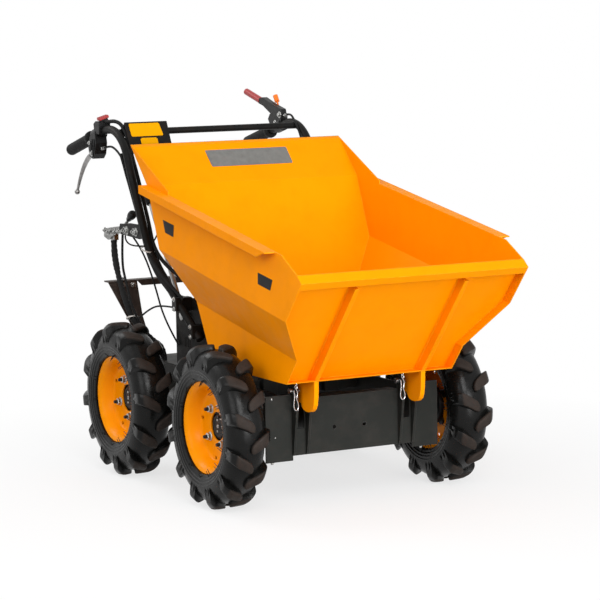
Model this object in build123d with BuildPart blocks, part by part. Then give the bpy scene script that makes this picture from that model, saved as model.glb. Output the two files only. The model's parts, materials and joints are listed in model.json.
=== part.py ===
# Walk-behind four-wheel site dumper with a tipping skip.
# Millimetres. +X forward to the skip's lip, +Y to the operator's left, +Z up.
# Origin: on the ground under the centre of the whole machine.
import os
from math import cos, pi, radians, sin, sqrt
from build123d import *

os.makedirs("parts", exist_ok=True)

# Driving sizes: the skip
sheet = 3.0            # skip sheet
half_top = 314.0       # skip half width above the upper fold
half_low = 236.0       # skip half width below the lower fold
fold_slope = 0.170     # fall of rails and folds per mm forward
fold_ref_x = 285.0
fold_up_z = 563.5      # upper fold height at fold_ref_x
fold_low_z = 437.0     # lower fold height at fold_ref_x
rail_z = 717.8         # rail top height at fold_ref_x
rail_width = 29.0
rail_drop = 21.0
back_top = (-228.0, 887.0)
back_fold = (-126.0, 782.0)
back_low = (-8.0, 486.0)
floor_rear_x = 80.0
floor_z = 330.0
front_foot = 450.0     # where the front panel meets the floor
front_head = (697.0, 618.0)
flange = 26.0          # side and lip flange ahead of the front panel
wing_end = (-1.0, 775.0)
side_shoulder = (619.0, 661.0)
rail_front = 588.0
rest_gap = 0.3         # skip floor to the rest below it

# Driving sizes: the tipping hinge
hinge_x = 398.0
hinge_z = 298.0
pin_r = 7.0
pin_play = 0.05
pin_head_r = 11.0
lug_y = 152.0
lug_thick = 12.0
fin_gap = 10.0         # lug side to fin
fin_t = 6.0

# Driving sizes: the wheels
axle_x = 272.0
track_half = 321.0
tyre_r = 205.5         # over the lugs
tyre_half = 52.5
carcass_r = 190.0
tyre_flats = 24
rim_r = 116.0
rim_half = 38.0
bead_play = 0.2
hub_r = 33.5
hub_face = 1.5         # cap face inboard of the wheel's middle
spindle_r = 14.0
spindle_play = 0.05
lug_count = 12         # on each side of the tread
axle_z = tyre_r
axle_r = 30.0

# Driving sizes: the chassis
plate_x = 387.0        # rear face of the front plate
plate_t = 5.0
slot_half = 13.0
slot_low = 200.0
hole_r = 5.5
hole_z = 196.0
hole_ys = (-54.0, 32.0)
side_y = 180.0         # outer face of the side members
side_t = 5.0
deck_z = 285.0
frame_low = 134.0
rear_x = -470.0
upright_gap = 6.0      # side member to upright plate
guard_z = 500.0
guard_half = 282.0

# Driving sizes: the handles
tube_r = 11.0
tube_play = 0.1
bar_y = 279.0
bar_drop = 0.2588      # fall of the handlebar per mm backward
bar_end = (-710.0, 853.0)
tube_bend = 125.0
tube_low = (-57.0, 205.0, 378.0)
tube_mid = (-268.0, 248.0, 592.0)
tube_high = (-300.0, 790.0)
bar_corner_x = -370.0
cross_x = -397.0
cross_r = 9.0
grip_r = 16.5
collar_r = 20.5


def bar_z(x):
    return bar_end[1] + bar_drop * (x - bar_end[0])


def rail_at(x):
    return rail_z - fold_slope * (x - fold_ref_x)


def placed(outline, x, z):
    # an outline drawn about its own anchor, moved to that anchor's place
    return [(x + dx, z + dz) for dx, dz in outline]


def plate_xz(points, y_low, y_high, mode=Mode.ADD):
    # a flat plate drawn in X and Z, between two Y values
    with BuildSketch(Plane.XZ.offset(-y_high)) as face:
        with BuildLine():
            Polyline(*points, close=True)
        make_face()
    extrude(face.sketch, amount=y_high - y_low, mode=mode)


def plate_yz(points, x_low, x_high, mode=Mode.ADD):
    with BuildSketch(Plane.YZ.offset(x_low)) as face:
        with BuildLine():
            Polyline(*points, close=True)
        make_face()
    extrude(face.sketch, amount=x_high - x_low, mode=mode)


def box_at(x0, x1, y0, y1, z0, z1, mode=Mode.ADD):
    with Locations(((x0 + x1) / 2, (y0 + y1) / 2, (z0 + z1) / 2)):
        Box(abs(x1 - x0), abs(y1 - y0), abs(z1 - z0), mode=mode)


def rod_y(x, z, r, y0, y1, mode=Mode.ADD):
    with Locations(Location((x, (y0 + y1) / 2, z), (90, 0, 0))):
        Cylinder(r, abs(y1 - y0), mode=mode)


def rod_x(y, z, r, x0, x1, mode=Mode.ADD):
    with Locations(Location(((x0 + x1) / 2, y, z), (0, 90, 0))):
        Cylinder(r, abs(x1 - x0), mode=mode)


def rod_z(x, y, r, z0, z1, mode=Mode.ADD):
    with Locations(Location((x, y, (z0 + z1) / 2))):
        Cylinder(r, abs(z1 - z0), mode=mode)


def rod_between(a, b, r, mode=Mode.ADD):
    a, b = Vector(*a), Vector(*b)
    with BuildSketch(Plane(origin=a, z_dir=b - a)) as disc:
        Circle(r)
    extrude(disc.sketch, amount=(b - a).length, mode=mode)


def bent_rod(points, r, bend, mode=Mode.ADD):
    # a round rod of straight runs joined by tangent arcs
    with BuildLine() as path:
        curve = FilletPolyline(*points, radius=bend)
    with BuildSketch(Plane(origin=curve @ 0, z_dir=curve % 0)) as disc:
        Circle(r)
    sweep(disc.sketch, path=path.line, mode=mode)


def turned(points, mode=Mode.ADD):
    # a profile of radius and Y turned about the wheel's own axis
    with BuildSketch(Plane.XY) as face:
        with BuildLine():
            Polyline(*points, close=True)
        make_face()
    revolve(face.sketch, axis=Axis.Y, mode=mode)


def wedge_outside(inset, side):
    # the space outside the tapered lower sides of the skip
    up, low = half_top - inset, half_low - inset
    x0 = back_top[0] - 92.0
    z_up = fold_up_z - fold_slope * (x0 - fold_ref_x)
    z_low = fold_low_z - fold_slope * (x0 - fold_ref_x)
    far = half_top + 146.0
    pts = [(side * up, z_up), (side * low, z_low), (side * low, -400.0),
           (side * far, -400.0), (side * far, z_up)]
    with BuildSketch(Plane.YZ.offset(x0)) as face:
        with BuildLine():
            Polyline(*pts, close=True)
        make_face()
    run = lip_tip[0] + 112.0 - x0
    extrude(face.sketch, amount=run * sqrt(1 + fold_slope ** 2), dir=(1, 0, -fold_slope))


# The skip: one folded sheet, open at the top
front_dir = Vector(front_head[0] - front_foot, 0, front_head[1] - floor_z).normalized()
front_out = Vector(front_dir.Z, 0, -front_dir.X)


def ahead(x, z, d):
    return (x + front_out.X * d, z + front_out.Z * d)


def down_front(d):
    # a point on the front panel, that far below its head
    return front_head[0] - front_dir.X * d, front_head[1] - front_dir.Z * d


lip_tip = ahead(front_head[0], front_head[1], flange)
foot_tip_x = front_foot + flange / front_out.X
lip_low = (lip_tip[0] - front_dir.X * 22.0, lip_tip[1] - front_dir.Z * 22.0)
foot_x = front_foot + sheet * front_dir.X / front_dir.Z
inner_half = half_top - sheet


def taper_cut(inset):
    with BuildPart() as cut:
        for side in (-1, 1):
            wedge_outside(inset, side)
    return cut.part


top_line = [(side_shoulder[0], side_shoulder[1]), (rail_front, rail_at(rail_front)),
            (wing_end[0], rail_at(wing_end[0])), wing_end]

with BuildPart() as skip_outer:
    plate_xz([back_top, back_fold, back_low, (floor_rear_x, floor_z), (foot_tip_x, floor_z),
              lip_tip, front_head] + top_line, -half_top, half_top)
    add(taper_cut(0.0), mode=Mode.SUBTRACT)

with BuildPart() as load_space:
    # each wall keeps the sheet's thickness, measured square to the wall
    t = sheet
    pts = [(back_top[0] + 1.4 * t, back_top[1] + t), (back_fold[0] + 1.2 * t, back_fold[1] + 0.6 * t),
           (back_low[0] + 1.07 * t, back_low[1] + t / 3), (floor_rear_x + 0.57 * t, floor_z + t),
           (front_foot - 0.6 * t, floor_z + t), (front_head[0] - 1.3 * t, front_head[1] + 0.4),
           (front_head[0] - 1.3 * t, back_top[1] + 113.0), (back_top[0] + 1.4 * t, back_top[1] + 113.0)]
    plate_xz(pts, -inner_half, inner_half)
    add(taper_cut(sheet), mode=Mode.SUBTRACT)

# the recess ahead of the front panel, between the side flanges
with BuildPart() as front_recess:
    a = ahead(*down_front(sheet), 0)
    b = ahead(*down_front(sheet), flange + 34.0)
    plate_xz([(foot_x, floor_z + sheet), (foot_x + 120, floor_z + sheet), b, a],
             -inner_half, inner_half)
    add(taper_cut(sheet), mode=Mode.SUBTRACT)

with BuildPart() as skip_shell:
    add(skip_outer.part)
    add(load_space.part, mode=Mode.SUBTRACT)
    add(front_recess.part, mode=Mode.SUBTRACT)
    # down-turned lip along the front
    back_of = ahead(lip_tip[0], lip_tip[1], -sheet)
    low_in = ahead(lip_low[0], lip_low[1], -sheet)
    plate_xz([lip_tip, lip_low, low_in, back_of], -half_top, half_top)
skip_shell.part.label = "skip_shell"
export_step(skip_shell.part, "parts/skip_shell.step")

# Out-turned rails along both sides of the skip, with a down-turned edge
rail_back_x = back_fold[0] + 6.0
rail_cut_back = 43.0
with BuildPart() as skip_rails:
    for side in (-1, 1):
        y_in, y_out = half_top, half_top + rail_width
        lo, hi = sorted((side * y_in, side * y_out))
        plate_xz([(rail_back_x, rail_at(rail_back_x)), (rail_front, rail_at(rail_front)),
                  (rail_front, rail_at(rail_front) - sheet),
                  (rail_back_x, rail_at(rail_back_x) - sheet)], lo, hi)
        lo, hi = sorted((side * (y_out - sheet), side * y_out))
        cut_x = rail_front - rail_cut_back
        plate_xz([(rail_back_x, rail_at(rail_back_x)), (rail_front, rail_at(rail_front)),
                  (cut_x, rail_at(cut_x) - rail_drop),
                  (rail_back_x, rail_at(rail_back_x) - rail_drop)], lo, hi)
skip_rails.part.label = "skip_rails"
export_step(skip_rails.part, "parts/skip_rails.step")

# Hook-shaped hinge lugs under the floor, drawn about the hinge axis
lug_back, lug_tip_x = hinge_x - 36.0, hinge_x + 85.0
lug_hook = placed([(-36, 4), (-33, -8), (-27, -18), (-2, -26.5), (14, -31), (18, -39),
                   (26, -45), (38, -48), (52, -48), (64, -45), (73, -38), (79, -28),
                   (83, -8)], hinge_x, hinge_z)
with BuildPart() as hinge_lugs:
    for side in (-1, 1):
        y0, y1 = side * lug_y - lug_thick / 2, side * lug_y + lug_thick / 2
        plate_xz([(lug_back, floor_z)] + lug_hook + [(lug_tip_x, floor_z)], y0, y1)
        rod_y(hinge_x, hinge_z, pin_r + pin_play, y0 - 1, y1 + 1, mode=Mode.SUBTRACT)
hinge_lugs.part.label = "hinge_lugs"
export_step(hinge_lugs.part, "parts/hinge_lugs.step")

# Ribs up the front panel, in line with the lugs
rib_head = ahead(*down_front(46.0), 0)
rib_head_out = ahead(*down_front(34.0), flange - 1.0)
with BuildPart() as front_ribs:
    for side in (-1, 1):
        y0, y1 = side * lug_y - lug_thick / 2, side * lug_y + lug_thick / 2
        plate_xz([(foot_x, floor_z + sheet), rib_head, rib_head_out,
                  (foot_tip_x + 1.5, floor_z + sheet)], y0, y1)
front_ribs.part.label = "front_ribs"
export_step(front_ribs.part, "parts/front_ribs.step")

# The chassis: front plate, hinge fins and pins, side members, deck
plate_wide, plate_top = 247.0, deck_z + 3.0
notch_z = plate_top - 12.0
plate_foot = frame_low - 12.0
with BuildPart() as front_plate:
    foot_in = side_y - 8.0
    plate_yz([(-plate_wide, plate_foot), (-foot_in, plate_foot), (-foot_in, frame_low),
              (foot_in, frame_low), (foot_in, plate_foot), (plate_wide, plate_foot),
              (plate_wide, plate_top), (128, plate_top), (128, notch_z), (-128, notch_z),
              (-128, plate_top), (-plate_wide, plate_top)], plate_x, plate_x + plate_t)
    # top strip bent back
    box_at(plate_x - 34, plate_x, -128, 128, notch_z - plate_t, notch_z)
    for side in (-1, 1):
        y = side * lug_y
        box_at(plate_x - 40, plate_x + 20, y - slot_half, y + slot_half, slot_low,
               plate_top + 12, mode=Mode.SUBTRACT)
    for y in hole_ys:
        rod_x(y, hole_z, hole_r, plate_x - 10, plate_x + 20, mode=Mode.SUBTRACT)
front_plate.part.label = "front_plate"
export_step(front_plate.part, "parts/front_plate.step")

# Fins each side of the lugs that carry the hinge pins
plate_face = plate_x + plate_t
fin_mid = lug_thick / 2 + fin_gap + fin_t / 2
fin = [(plate_face, frame_low + 2), (plate_face + 6, frame_low + 2),
       (hinge_x + 21, hinge_z - 36), (hinge_x + 18, hinge_z + 8), (hinge_x + 8, hinge_z + 17),
       (hinge_x - 8, hinge_z + 17), (hinge_x - 19, hinge_z + 8), (hinge_x - 19, plate_top + 1),
       (plate_face, plate_top + 1)]
with BuildPart() as hinge_brackets:
    for side in (-1, 1):
        for k in (-1, 1):
            y = side * lug_y + k * fin_mid
            plate_xz(fin, y - fin_t / 2, y + fin_t / 2)
            rod_y(hinge_x, hinge_z, pin_r, y - fin_t, y + fin_t, mode=Mode.SUBTRACT)
hinge_brackets.part.label = "hinge_brackets"
export_step(hinge_brackets.part, "parts/hinge_brackets.step")

fin_face = fin_mid + fin_t / 2
with BuildPart() as hinge_pins:
    for side in (-1, 1):
        y = side * lug_y
        rod_y(hinge_x, hinge_z, pin_r, y - fin_face - 10, y + fin_face + 1)
        rod_y(hinge_x, hinge_z, pin_head_r, y + fin_face + 0.2, y + fin_face + 5)
hinge_pins.part.label = "hinge_pins"
export_step(hinge_pins.part, "parts/hinge_pins.step")

side_in = side_y - side_t
with BuildPart() as side_members:
    for side in (-1, 1):
        lo, hi = sorted((side * side_y, side * side_in))
        plate_xz([(rear_x + 5, frame_low), (plate_x, frame_low), (plate_x, deck_z - 15),
                  (plate_x - 47, deck_z - 15), (plate_x - 87, deck_z - 5),
                  (rear_x + 5, deck_z - 5)], lo, hi)
        box_at(rear_x + 5, plate_x, side * side_in, side * (side_in - 30), frame_low,
               frame_low + 5)
        for x in (-axle_x, axle_x):
            rod_y(x, axle_z, axle_r + 0.2, side * (side_in - 15), side * (side_y + 10),
                  mode=Mode.SUBTRACT)
side_members.part.label = "side_members"
export_step(side_members.part, "parts/side_members.step")

with BuildPart() as engine_deck:
    box_at(rear_x, -20, -side_y, side_y, deck_z - 5, deck_z)
    box_at(rear_x, rear_x + 5, -side_y, side_y, frame_low, deck_z - 5)
engine_deck.part.label = "engine_deck"
export_step(engine_deck.part, "parts/engine_deck.step")

with BuildPart() as skip_rest:
    # cross member with two pads that the skip's floor comes down on
    box_at(floor_rear_x - 20, floor_rear_x + 20, -side_in, side_in, deck_z - 45, deck_z - 5)
    for y in (-90.0, 90.0):
        box_at(floor_rear_x + 6, floor_rear_x + 38, y - 20, y + 20, deck_z - 45,
               floor_z - rest_gap)
skip_rest.part.label = "skip_rest"
export_step(skip_rest.part, "parts/skip_rest.step")

# Axles: a tube, a round drive casing in the middle and a spindle at each end
spindle_end = track_half - hub_face - 6.5
tube_end = track_half - 85.0
for x, name in ((axle_x, "front_axle"), (-axle_x, "rear_axle")):
    with BuildPart() as axle:
        turned([(0, -spindle_end), (spindle_r, -spindle_end), (spindle_r, -tube_end - 8),
                (42, -tube_end - 8), (42, -tube_end + 4), (axle_r, -tube_end + 4),
                (axle_r, -74), (58, -34), (58, 34), (axle_r, 74), (axle_r, tube_end - 4),
                (42, tube_end - 4), (42, tube_end + 8), (spindle_r, tube_end + 8),
                (spindle_r, spindle_end), (0, spindle_end)])
    placed_axle = axle.part.moved(Location((x, 0, axle_z)))
    placed_axle.label = name
    export_step(placed_axle, "parts/" + name + ".step")

with BuildPart() as gearbox:
    box_at(-150, 30, -75, 75, frame_low + 16, deck_z - 6)
    rod_x(0, axle_z, 24, 30, axle_x - 58.3)
    rod_x(0, axle_z, 34, -150, -axle_x + 58.3)
gearbox.part.label = "gearbox"
export_step(gearbox.part, "parts/gearbox.step")


def flat_sided(stations, mode=Mode.ADD):
    # a convex body of flats round the wheel's axis, each station a Y and a radius across flats
    points = []
    for y, r in stations:
        corner = r / cos(pi / tyre_flats)
        for k in range(tyre_flats):
            a = 2 * pi * (k + 0.5) / tyre_flats
            points.append((corner * sin(a), y, corner * cos(a)))
    ConvexPolyhedron(points, mode=mode)


def tyre_solid(x, y):
    side_wall = tyre_half - 1.0
    with BuildPart() as tyre:
        half_profile = [(side_wall - 26, carcass_r), (side_wall - 6.5, carcass_r - 10),
                        (side_wall, carcass_r - 40)]
        flat_sided([(s * y, r) for s in (-1, 1) for y, r in half_profile])
        # chevron lugs, turn about from side to side
        low = carcass_r - 24
        for k in range(lug_count * 2):
            s = 1 if k % 2 else -1
            with BuildSketch(Plane.XY.offset(low)) as foot:
                with BuildLine():
                    Polyline((-34, s * tyre_half), (3, s * tyre_half), (33, s * -5),
                             (4, s * -5), close=True)
                make_face()
            block = extrude(foot.sketch, amount=tyre_r + 4 - low, mode=Mode.PRIVATE)
            add(block.rotate(Axis.Y, 180.0 / lug_count * k))
        # lug tops follow the tyre's outer size
        flat_sided([(-tyre_half, tyre_r), (tyre_half, tyre_r)], mode=Mode.INTERSECT)
        # dished side walls and the bore that sits on the rim
        for s in (-1, 1):
            flat_sided([(s * (side_wall + 0.5), carcass_r - 42), (s * (rim_half + 5), rim_r - 3)],
                       mode=Mode.SUBTRACT)
        flat_sided([(-tyre_half, rim_r + bead_play), (tyre_half, rim_r + bead_play)],
                   mode=Mode.SUBTRACT)
    return tyre.part.moved(Location((x, y, axle_z)))


def rim_solid(x, y, side):
    well = rim_r - 22
    with BuildPart() as rim:
        # flanges and well, outboard is +Y before it is placed
        turned([(rim_r, rim_half), (rim_r, rim_half - 3), (well, 10), (well, -rim_half + 3),
                (rim_r, -rim_half + 3), (rim_r, -rim_half), (well - 4, -rim_half),
                (well - 4, 8), (rim_r - 4, rim_half)])
        # dished disc with a raised ring and a flat seat on the hub
        turned([(well - 3, 0), (64, 0), (52, -13), (hub_r + 0.5, -13), (hub_r + 0.5, -17),
                (54, -17), (66, -4), (well - 3, -4)])
        # five round vent holes between the nuts
        for k in range(5):
            a = radians(72 * k + 54)
            rod_y(78 * cos(a), 78 * sin(a), 6.5, -30, 30, mode=Mode.SUBTRACT)
    p = rim.part if side > 0 else rim.part.rotate(Axis.Z, 180)
    return p.moved(Location((x, y, axle_z)))


def hub_solid(x, y, side):
    cap = -hub_face
    with BuildPart() as hub:
        turned([(0, cap), (hub_r - 7, cap), (hub_r - 4, cap - 3), (hub_r - 4, cap - 5),
                (hub_r, cap - 5), (hub_r, -17.1), (50, -17.1), (50, -24), (hub_r, -24),
                (hub_r, -56), (46, -56), (46, -62), (0, -62)])
        rod_y(0, 0, spindle_r + spindle_play, -80, cap - 6, mode=Mode.SUBTRACT)
    p = hub.part if side > 0 else hub.part.rotate(Axis.Z, 180)
    return p.moved(Location((x, y, axle_z)))


for x, fore in ((axle_x, "front"), (-axle_x, "rear")):
    for side, hand in ((-1, "right"), (1, "left")):
        y = side * track_half
        tyre_part = tyre_solid(x, y)
        tyre_part.label = "tyre_" + fore + "_" + hand
        export_step(tyre_part, "parts/tyre_" + fore + "_" + hand + ".step")
        rim_part = rim_solid(x, y, side)
        rim_part.label = "rim_" + fore + "_" + hand
        export_step(rim_part, "parts/rim_" + fore + "_" + hand + ".step")
        hub_part = hub_solid(x, y, side)
        hub_part.label = "hub_" + fore + "_" + hand
        export_step(hub_part, "parts/hub_" + fore + "_" + hand + ".step")

# The engine, open behind the skip and seated on the deck
shaft_x, shaft_z = -225.0, deck_z + 87.0
block_top = deck_z + 135.0
head_top = block_top + 92.0
tank_low = deck_z + 235.0
with BuildPart() as engine_block:
    box_at(-318, -132, -52, 96, deck_z + 12, block_top)
    fillet(engine_block.edges().filter_by(Axis.Y), 16)
    # mounting feet
    for y in (-50, 70):
        box_at(-330, -120, y, y + 24, deck_z, deck_z + 13)
    # flange the starter bolts to
    rod_y(shaft_x, shaft_z, 74, -50, -70)
    # output shaft end
    rod_y(shaft_x, shaft_z, 10, 95, 128)
    # posts that carry the tank
    for x in (-312, -172):
        box_at(x, x + 12, -50, -44, block_top - 20, tank_low)
        box_at(x, x + 12, 84, 90, block_top - 20, tank_low)
engine_block.part.label = "engine_block"
export_step(engine_block.part, "parts/engine_block.step")

with BuildPart() as cylinder_head:
    box_at(-282, -196, -14, 62, block_top, head_top)
    for k in range(7):
        z = block_top + 6 + 11 * k
        box_at(-298, -182, -34, 80, z, z + 4)
    # exhaust and inlet stubs
    rod_y(-250, block_top + 50, 14, 60, 100)
    rod_x(24, block_top + 50, 13, -200, -158)
cylinder_head.part.label = "cylinder_head"
export_step(cylinder_head.part, "parts/cylinder_head.step")

with BuildPart() as fuel_tank:
    box_at(-334, -128, -78, 124, tank_low, tank_low + 72)
    fillet(fuel_tank.edges().filter_by(Axis.Z), 34)
    fillet(fuel_tank.faces().sort_by(Axis.Z)[-1].edges(), 14)
    rod_z(-222, 20, 27, tank_low + 71, tank_low + 80)
    rod_z(-222, 20, 31, tank_low + 80, tank_low + 92)
fuel_tank.part.label = "fuel_tank"
export_step(fuel_tank.part, "parts/fuel_tank.step")

with BuildPart() as muffler:
    box_at(-318, -184, 100, 164, block_top + 16, block_top + 90)
    fillet(muffler.edges().filter_by(Axis.X), 16)
    # slots in the heat guard
    for k in range(6):
        x = -302 + 19 * k
        box_at(x, x + 8, 160, 170, block_top + 30, block_top + 76, mode=Mode.SUBTRACT)
muffler.part.label = "muffler"
export_step(muffler.part, "parts/muffler.step")

with BuildPart() as air_filter:
    box_at(-158, -92, -24, 84, block_top + 16, block_top + 94)
    fillet(air_filter.edges().filter_by(Axis.X), 16)
air_filter.part.label = "air_filter"
export_step(air_filter.part, "parts/air_filter.step")

with BuildPart() as recoil_starter:
    rod_y(shaft_x, shaft_z, 80, -70, -104)
    chamfer(recoil_starter.faces().sort_by(Axis.Y)[0].edges(), 10)
    for k in range(12):
        a = radians(30 * k)
        with Locations(Location((shaft_x + 48 * cos(a), -104, shaft_z + 48 * sin(a)),
                                (0, -30 * k, 0))):
            Box(34, 8, 6, mode=Mode.SUBTRACT)
recoil_starter.part.label = "recoil_starter"
export_step(recoil_starter.part, "parts/recoil_starter.step")

# Upright plates at the sides, with see-through slots and louvres
plate_in = side_y + upright_gap
plate_out = plate_in + side_t
upright_back, upright_front = -233.0, -40.0
upright_top = deck_z + 195.0
with BuildPart() as side_plates:
    for side in (-1, 1):
        lo, hi = sorted((side * plate_in, side * plate_out))
        plate_xz([(upright_back, deck_z), (upright_front, deck_z),
                  (upright_front, upright_top - 80), (upright_front - 80, upright_top),
                  (upright_back, upright_top)], lo, hi)
        box_at(upright_back, upright_front, side * (side_y - 20), side * plate_in, deck_z,
               deck_z + 5)
        near, far = side * (plate_in - 4), side * (plate_out + 4)
        for x, z in ((24, -26), (28, -44), (43, -58)):
            box_at(upright_back + x - 8, upright_back + x + 8, near, far,
                   upright_top + z - 4, upright_top + z + 4, mode=Mode.SUBTRACT)
        for k in range(4):
            x = upright_back + 53 + 10 * k
            box_at(x, x + 3.5, near, far, deck_z + 60, deck_z + 87, mode=Mode.SUBTRACT)
side_plates.part.label = "side_plates"
export_step(side_plates.part, "parts/side_plates.step")

# Rear portal: a folded cross plate on two tapered legs
guard_t = 4.0
with BuildPart() as rear_guard:
    box_at(rear_x - 30, rear_x + 3, -guard_half, guard_half, guard_z - guard_t, guard_z)
    plate_yz([(-195, guard_z - guard_t), (195, guard_z - guard_t), (182, guard_z - 17),
              (-182, guard_z - 17)], rear_x - 1, rear_x + 3)
    for side in (-1, 1):
        leg = [(guard_half, guard_z - guard_t), (196, guard_z - guard_t), (182, guard_z - 100),
               (150, deck_z + 5), (150, frame_low + 16), (side_y - 1, frame_low + 16),
               (side_y - 1, deck_z + 15), (230, guard_z - 100)]
        plate_yz([(side * y, z) for y, z in leg], rear_x - 4, rear_x)
rear_guard.part.label = "rear_guard"
export_step(rear_guard.part, "parts/rear_guard.step")

# The handle tubes and their crossbar
bar_corner = (bar_corner_x, bar_z(bar_corner_x))


def tube_points(side):
    return [(tube_low[0], side * tube_low[1], tube_low[2]),
            (tube_mid[0], side * tube_mid[1], tube_mid[2]),
            (tube_high[0], side * bar_y, tube_high[1]),
            (bar_corner[0], side * bar_y, bar_corner[1]),
            (bar_end[0], side * bar_y, bar_end[1])]


def along_lower_tube(x):
    # distance from the middle plane and height of the lower tube run at x
    f = (x - tube_low[0]) / (tube_mid[0] - tube_low[0])
    return (tube_low[1] + f * (tube_mid[1] - tube_low[1]),
            tube_low[2] + f * (tube_mid[2] - tube_low[2]))


def along_upper_tube(z):
    # place and distance from the middle plane of the upper tube run at height z
    f = (z - tube_mid[2]) / (tube_high[1] - tube_mid[2])
    return (tube_mid[0] + f * (tube_high[0] - tube_mid[0]),
            tube_mid[1] + f * (bar_y - tube_mid[1]))


def bend_centre():
    # centre of the bend between the upper tube run and the handlebar
    corner = Vector(bar_corner[0], 0, bar_corner[1])
    down = (Vector(tube_high[0], 0, tube_high[1]) - corner).normalized()
    back = (Vector(bar_end[0], 0, bar_end[1]) - corner).normalized()
    half = radians(down.get_angle(back) / 2)
    return corner + (down + back).normalized() * (tube_bend / sin(half))


bend_mid = bend_centre()
cross_z = bend_mid.Z + sqrt(tube_bend ** 2 - (cross_x - bend_mid.X) ** 2)
with BuildPart() as handle_frame:
    for side in (-1, 1):
        bent_rod(tube_points(side), tube_r, tube_bend)
    rod_y(cross_x, cross_z, cross_r, -bar_y, bar_y)
handle_frame.part.label = "handle_frame"
export_step(handle_frame.part, "parts/handle_frame.step")


def bar_cut(side, x0=-472.0):
    # the room the straight handlebar takes, with a little play
    rod_between((x0, side * bar_y, bar_z(x0)), (bar_end[0], side * bar_y, bar_end[1]),
                tube_r + tube_play, mode=Mode.SUBTRACT)


def lower_tube_cut(side):
    ends = [tube_points(side)[k] for k in (0, 1)]
    rod_between(ends[0], ends[1], tube_r + tube_play, mode=Mode.SUBTRACT)


# Clamps that hold the tubes to the upright plates
with BuildPart() as tube_clamps:
    for side in (-1, 1):
        for x in (-77.0, -144.0):
            y, z = along_lower_tube(x)
            box_at(x - 13, x + 13, side * plate_out, side * (y + 15), z - 19, z + 17)
        lower_tube_cut(side)
tube_clamps.part.label = "tube_clamps"
export_step(tube_clamps.part, "parts/tube_clamps.step")

# Rubber grips with a collar
collar_x, grip_x, grip_end_x = -560.0, -574.0, bar_end[0] - 5.0
for side, hand in ((-1, "right"), (1, "left")):
    y = side * bar_y
    with BuildPart() as grip:
        rod_between((collar_x, y, bar_z(collar_x)), (grip_x, y, bar_z(grip_x)), collar_r)
        rod_between((grip_x, y, bar_z(grip_x)), (grip_end_x, y, bar_z(grip_end_x)), grip_r)
        bar_cut(side)
    grip.part.label = "grip_" + hand
    export_step(grip.part, "parts/grip_" + hand + ".step")

# Sloping console plate, clipped to the crossbar
with BuildPart() as console_plate:
    plate_xz(placed([(11, 9), (25, 28), (27.7, 26.6), (67, -54), (64, -55.4), (25, 22),
                     (13, 5)], cross_x, cross_z), -bar_y + 13, -141)
    rod_y(cross_x, cross_z, cross_r + 3, -262, -150)
    box_at(cross_x - 3, cross_x + 13, -262, -150, cross_z, cross_z + 10)
    rod_y(cross_x, cross_z, cross_r + tube_play, -300, -100, mode=Mode.SUBTRACT)
console_plate.part.label = "console_plate"
export_step(console_plate.part, "parts/console_plate.step")

# Right hand: clamp with lever housing below and switch body above
perch_x, switch_x = -516.0, -490.0
switch_top = placed([(16, 26), (-8, 30), (-22, 22)], switch_x, bar_z(switch_x))
with BuildPart() as brake_perch:
    rod_between((perch_x + 16, -bar_y, bar_z(perch_x + 16)),
                (perch_x - 16, -bar_y, bar_z(perch_x - 16)), tube_r + 8)
    plate_xz(placed([(18, 2), (-18, -7), (-29, -35), (-22, -61), (0, -67), (16, -53),
                     (24, -23)], perch_x, bar_z(perch_x)), -bar_y - 20, -bar_y + 14)
    plate_xz(placed([(14, -5), (-16, -5)], switch_x, bar_z(switch_x))
             + list(reversed(switch_top)), -bar_y - 17, -bar_y + 17)
    bar_cut(-1)
brake_perch.part.label = "brake_perch"
export_step(brake_perch.part, "parts/brake_perch.step")

with BuildPart() as brake_lever:
    lever = placed([(-24.9, -52.6), (-59, -65), (-114, -108), (-156, -170)], perch_x, bar_z(perch_x))
    lever_y = -bar_y - 4
    bent_rod([(x, lever_y, z) for x, z in lever], 5, 110)
    with Locations((lever[-1][0], lever_y, lever[-1][1])):
        Sphere(8)
brake_lever.part.label = "brake_lever"
export_step(brake_lever.part, "parts/brake_lever.step")

with BuildPart() as stop_switch:
    front_top, rear_top = switch_top[0], switch_top[1]
    plate_xz([(front_top[0] - 1.2, front_top[1] + 0.2), (rear_top[0] + 1.2, rear_top[1] - 0.2),
              (rear_top[0] - 10, rear_top[1] + 4), (rear_top[0] - 8, rear_top[1] + 17),
              (front_top[0] - 4, front_top[1] + 18)], -bar_y - 15, -bar_y + 15)
stop_switch.part.label = "stop_switch"
export_step(stop_switch.part, "parts/stop_switch.step")

# Left hand: perch with the clutch lever above the grip and the throttle beside it
clutch_x = -503.0
clutch_top = placed([(23, 35), (3, 39), (-45, 33)], clutch_x, bar_z(clutch_x))
with BuildPart() as clutch_perch:
    rod_between((clutch_x + 17, bar_y, bar_z(clutch_x + 17)),
                (clutch_x - 17, bar_y, bar_z(clutch_x - 17)), tube_r + 6)
    plate_xz(placed([(-57, 18), (-42, -2), (21, -2)], clutch_x, bar_z(clutch_x)) + clutch_top,
             bar_y - 11, bar_y + 11)
    bar_cut(1)
clutch_perch.part.label = "clutch_perch"
export_step(clutch_perch.part, "parts/clutch_perch.step")

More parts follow.
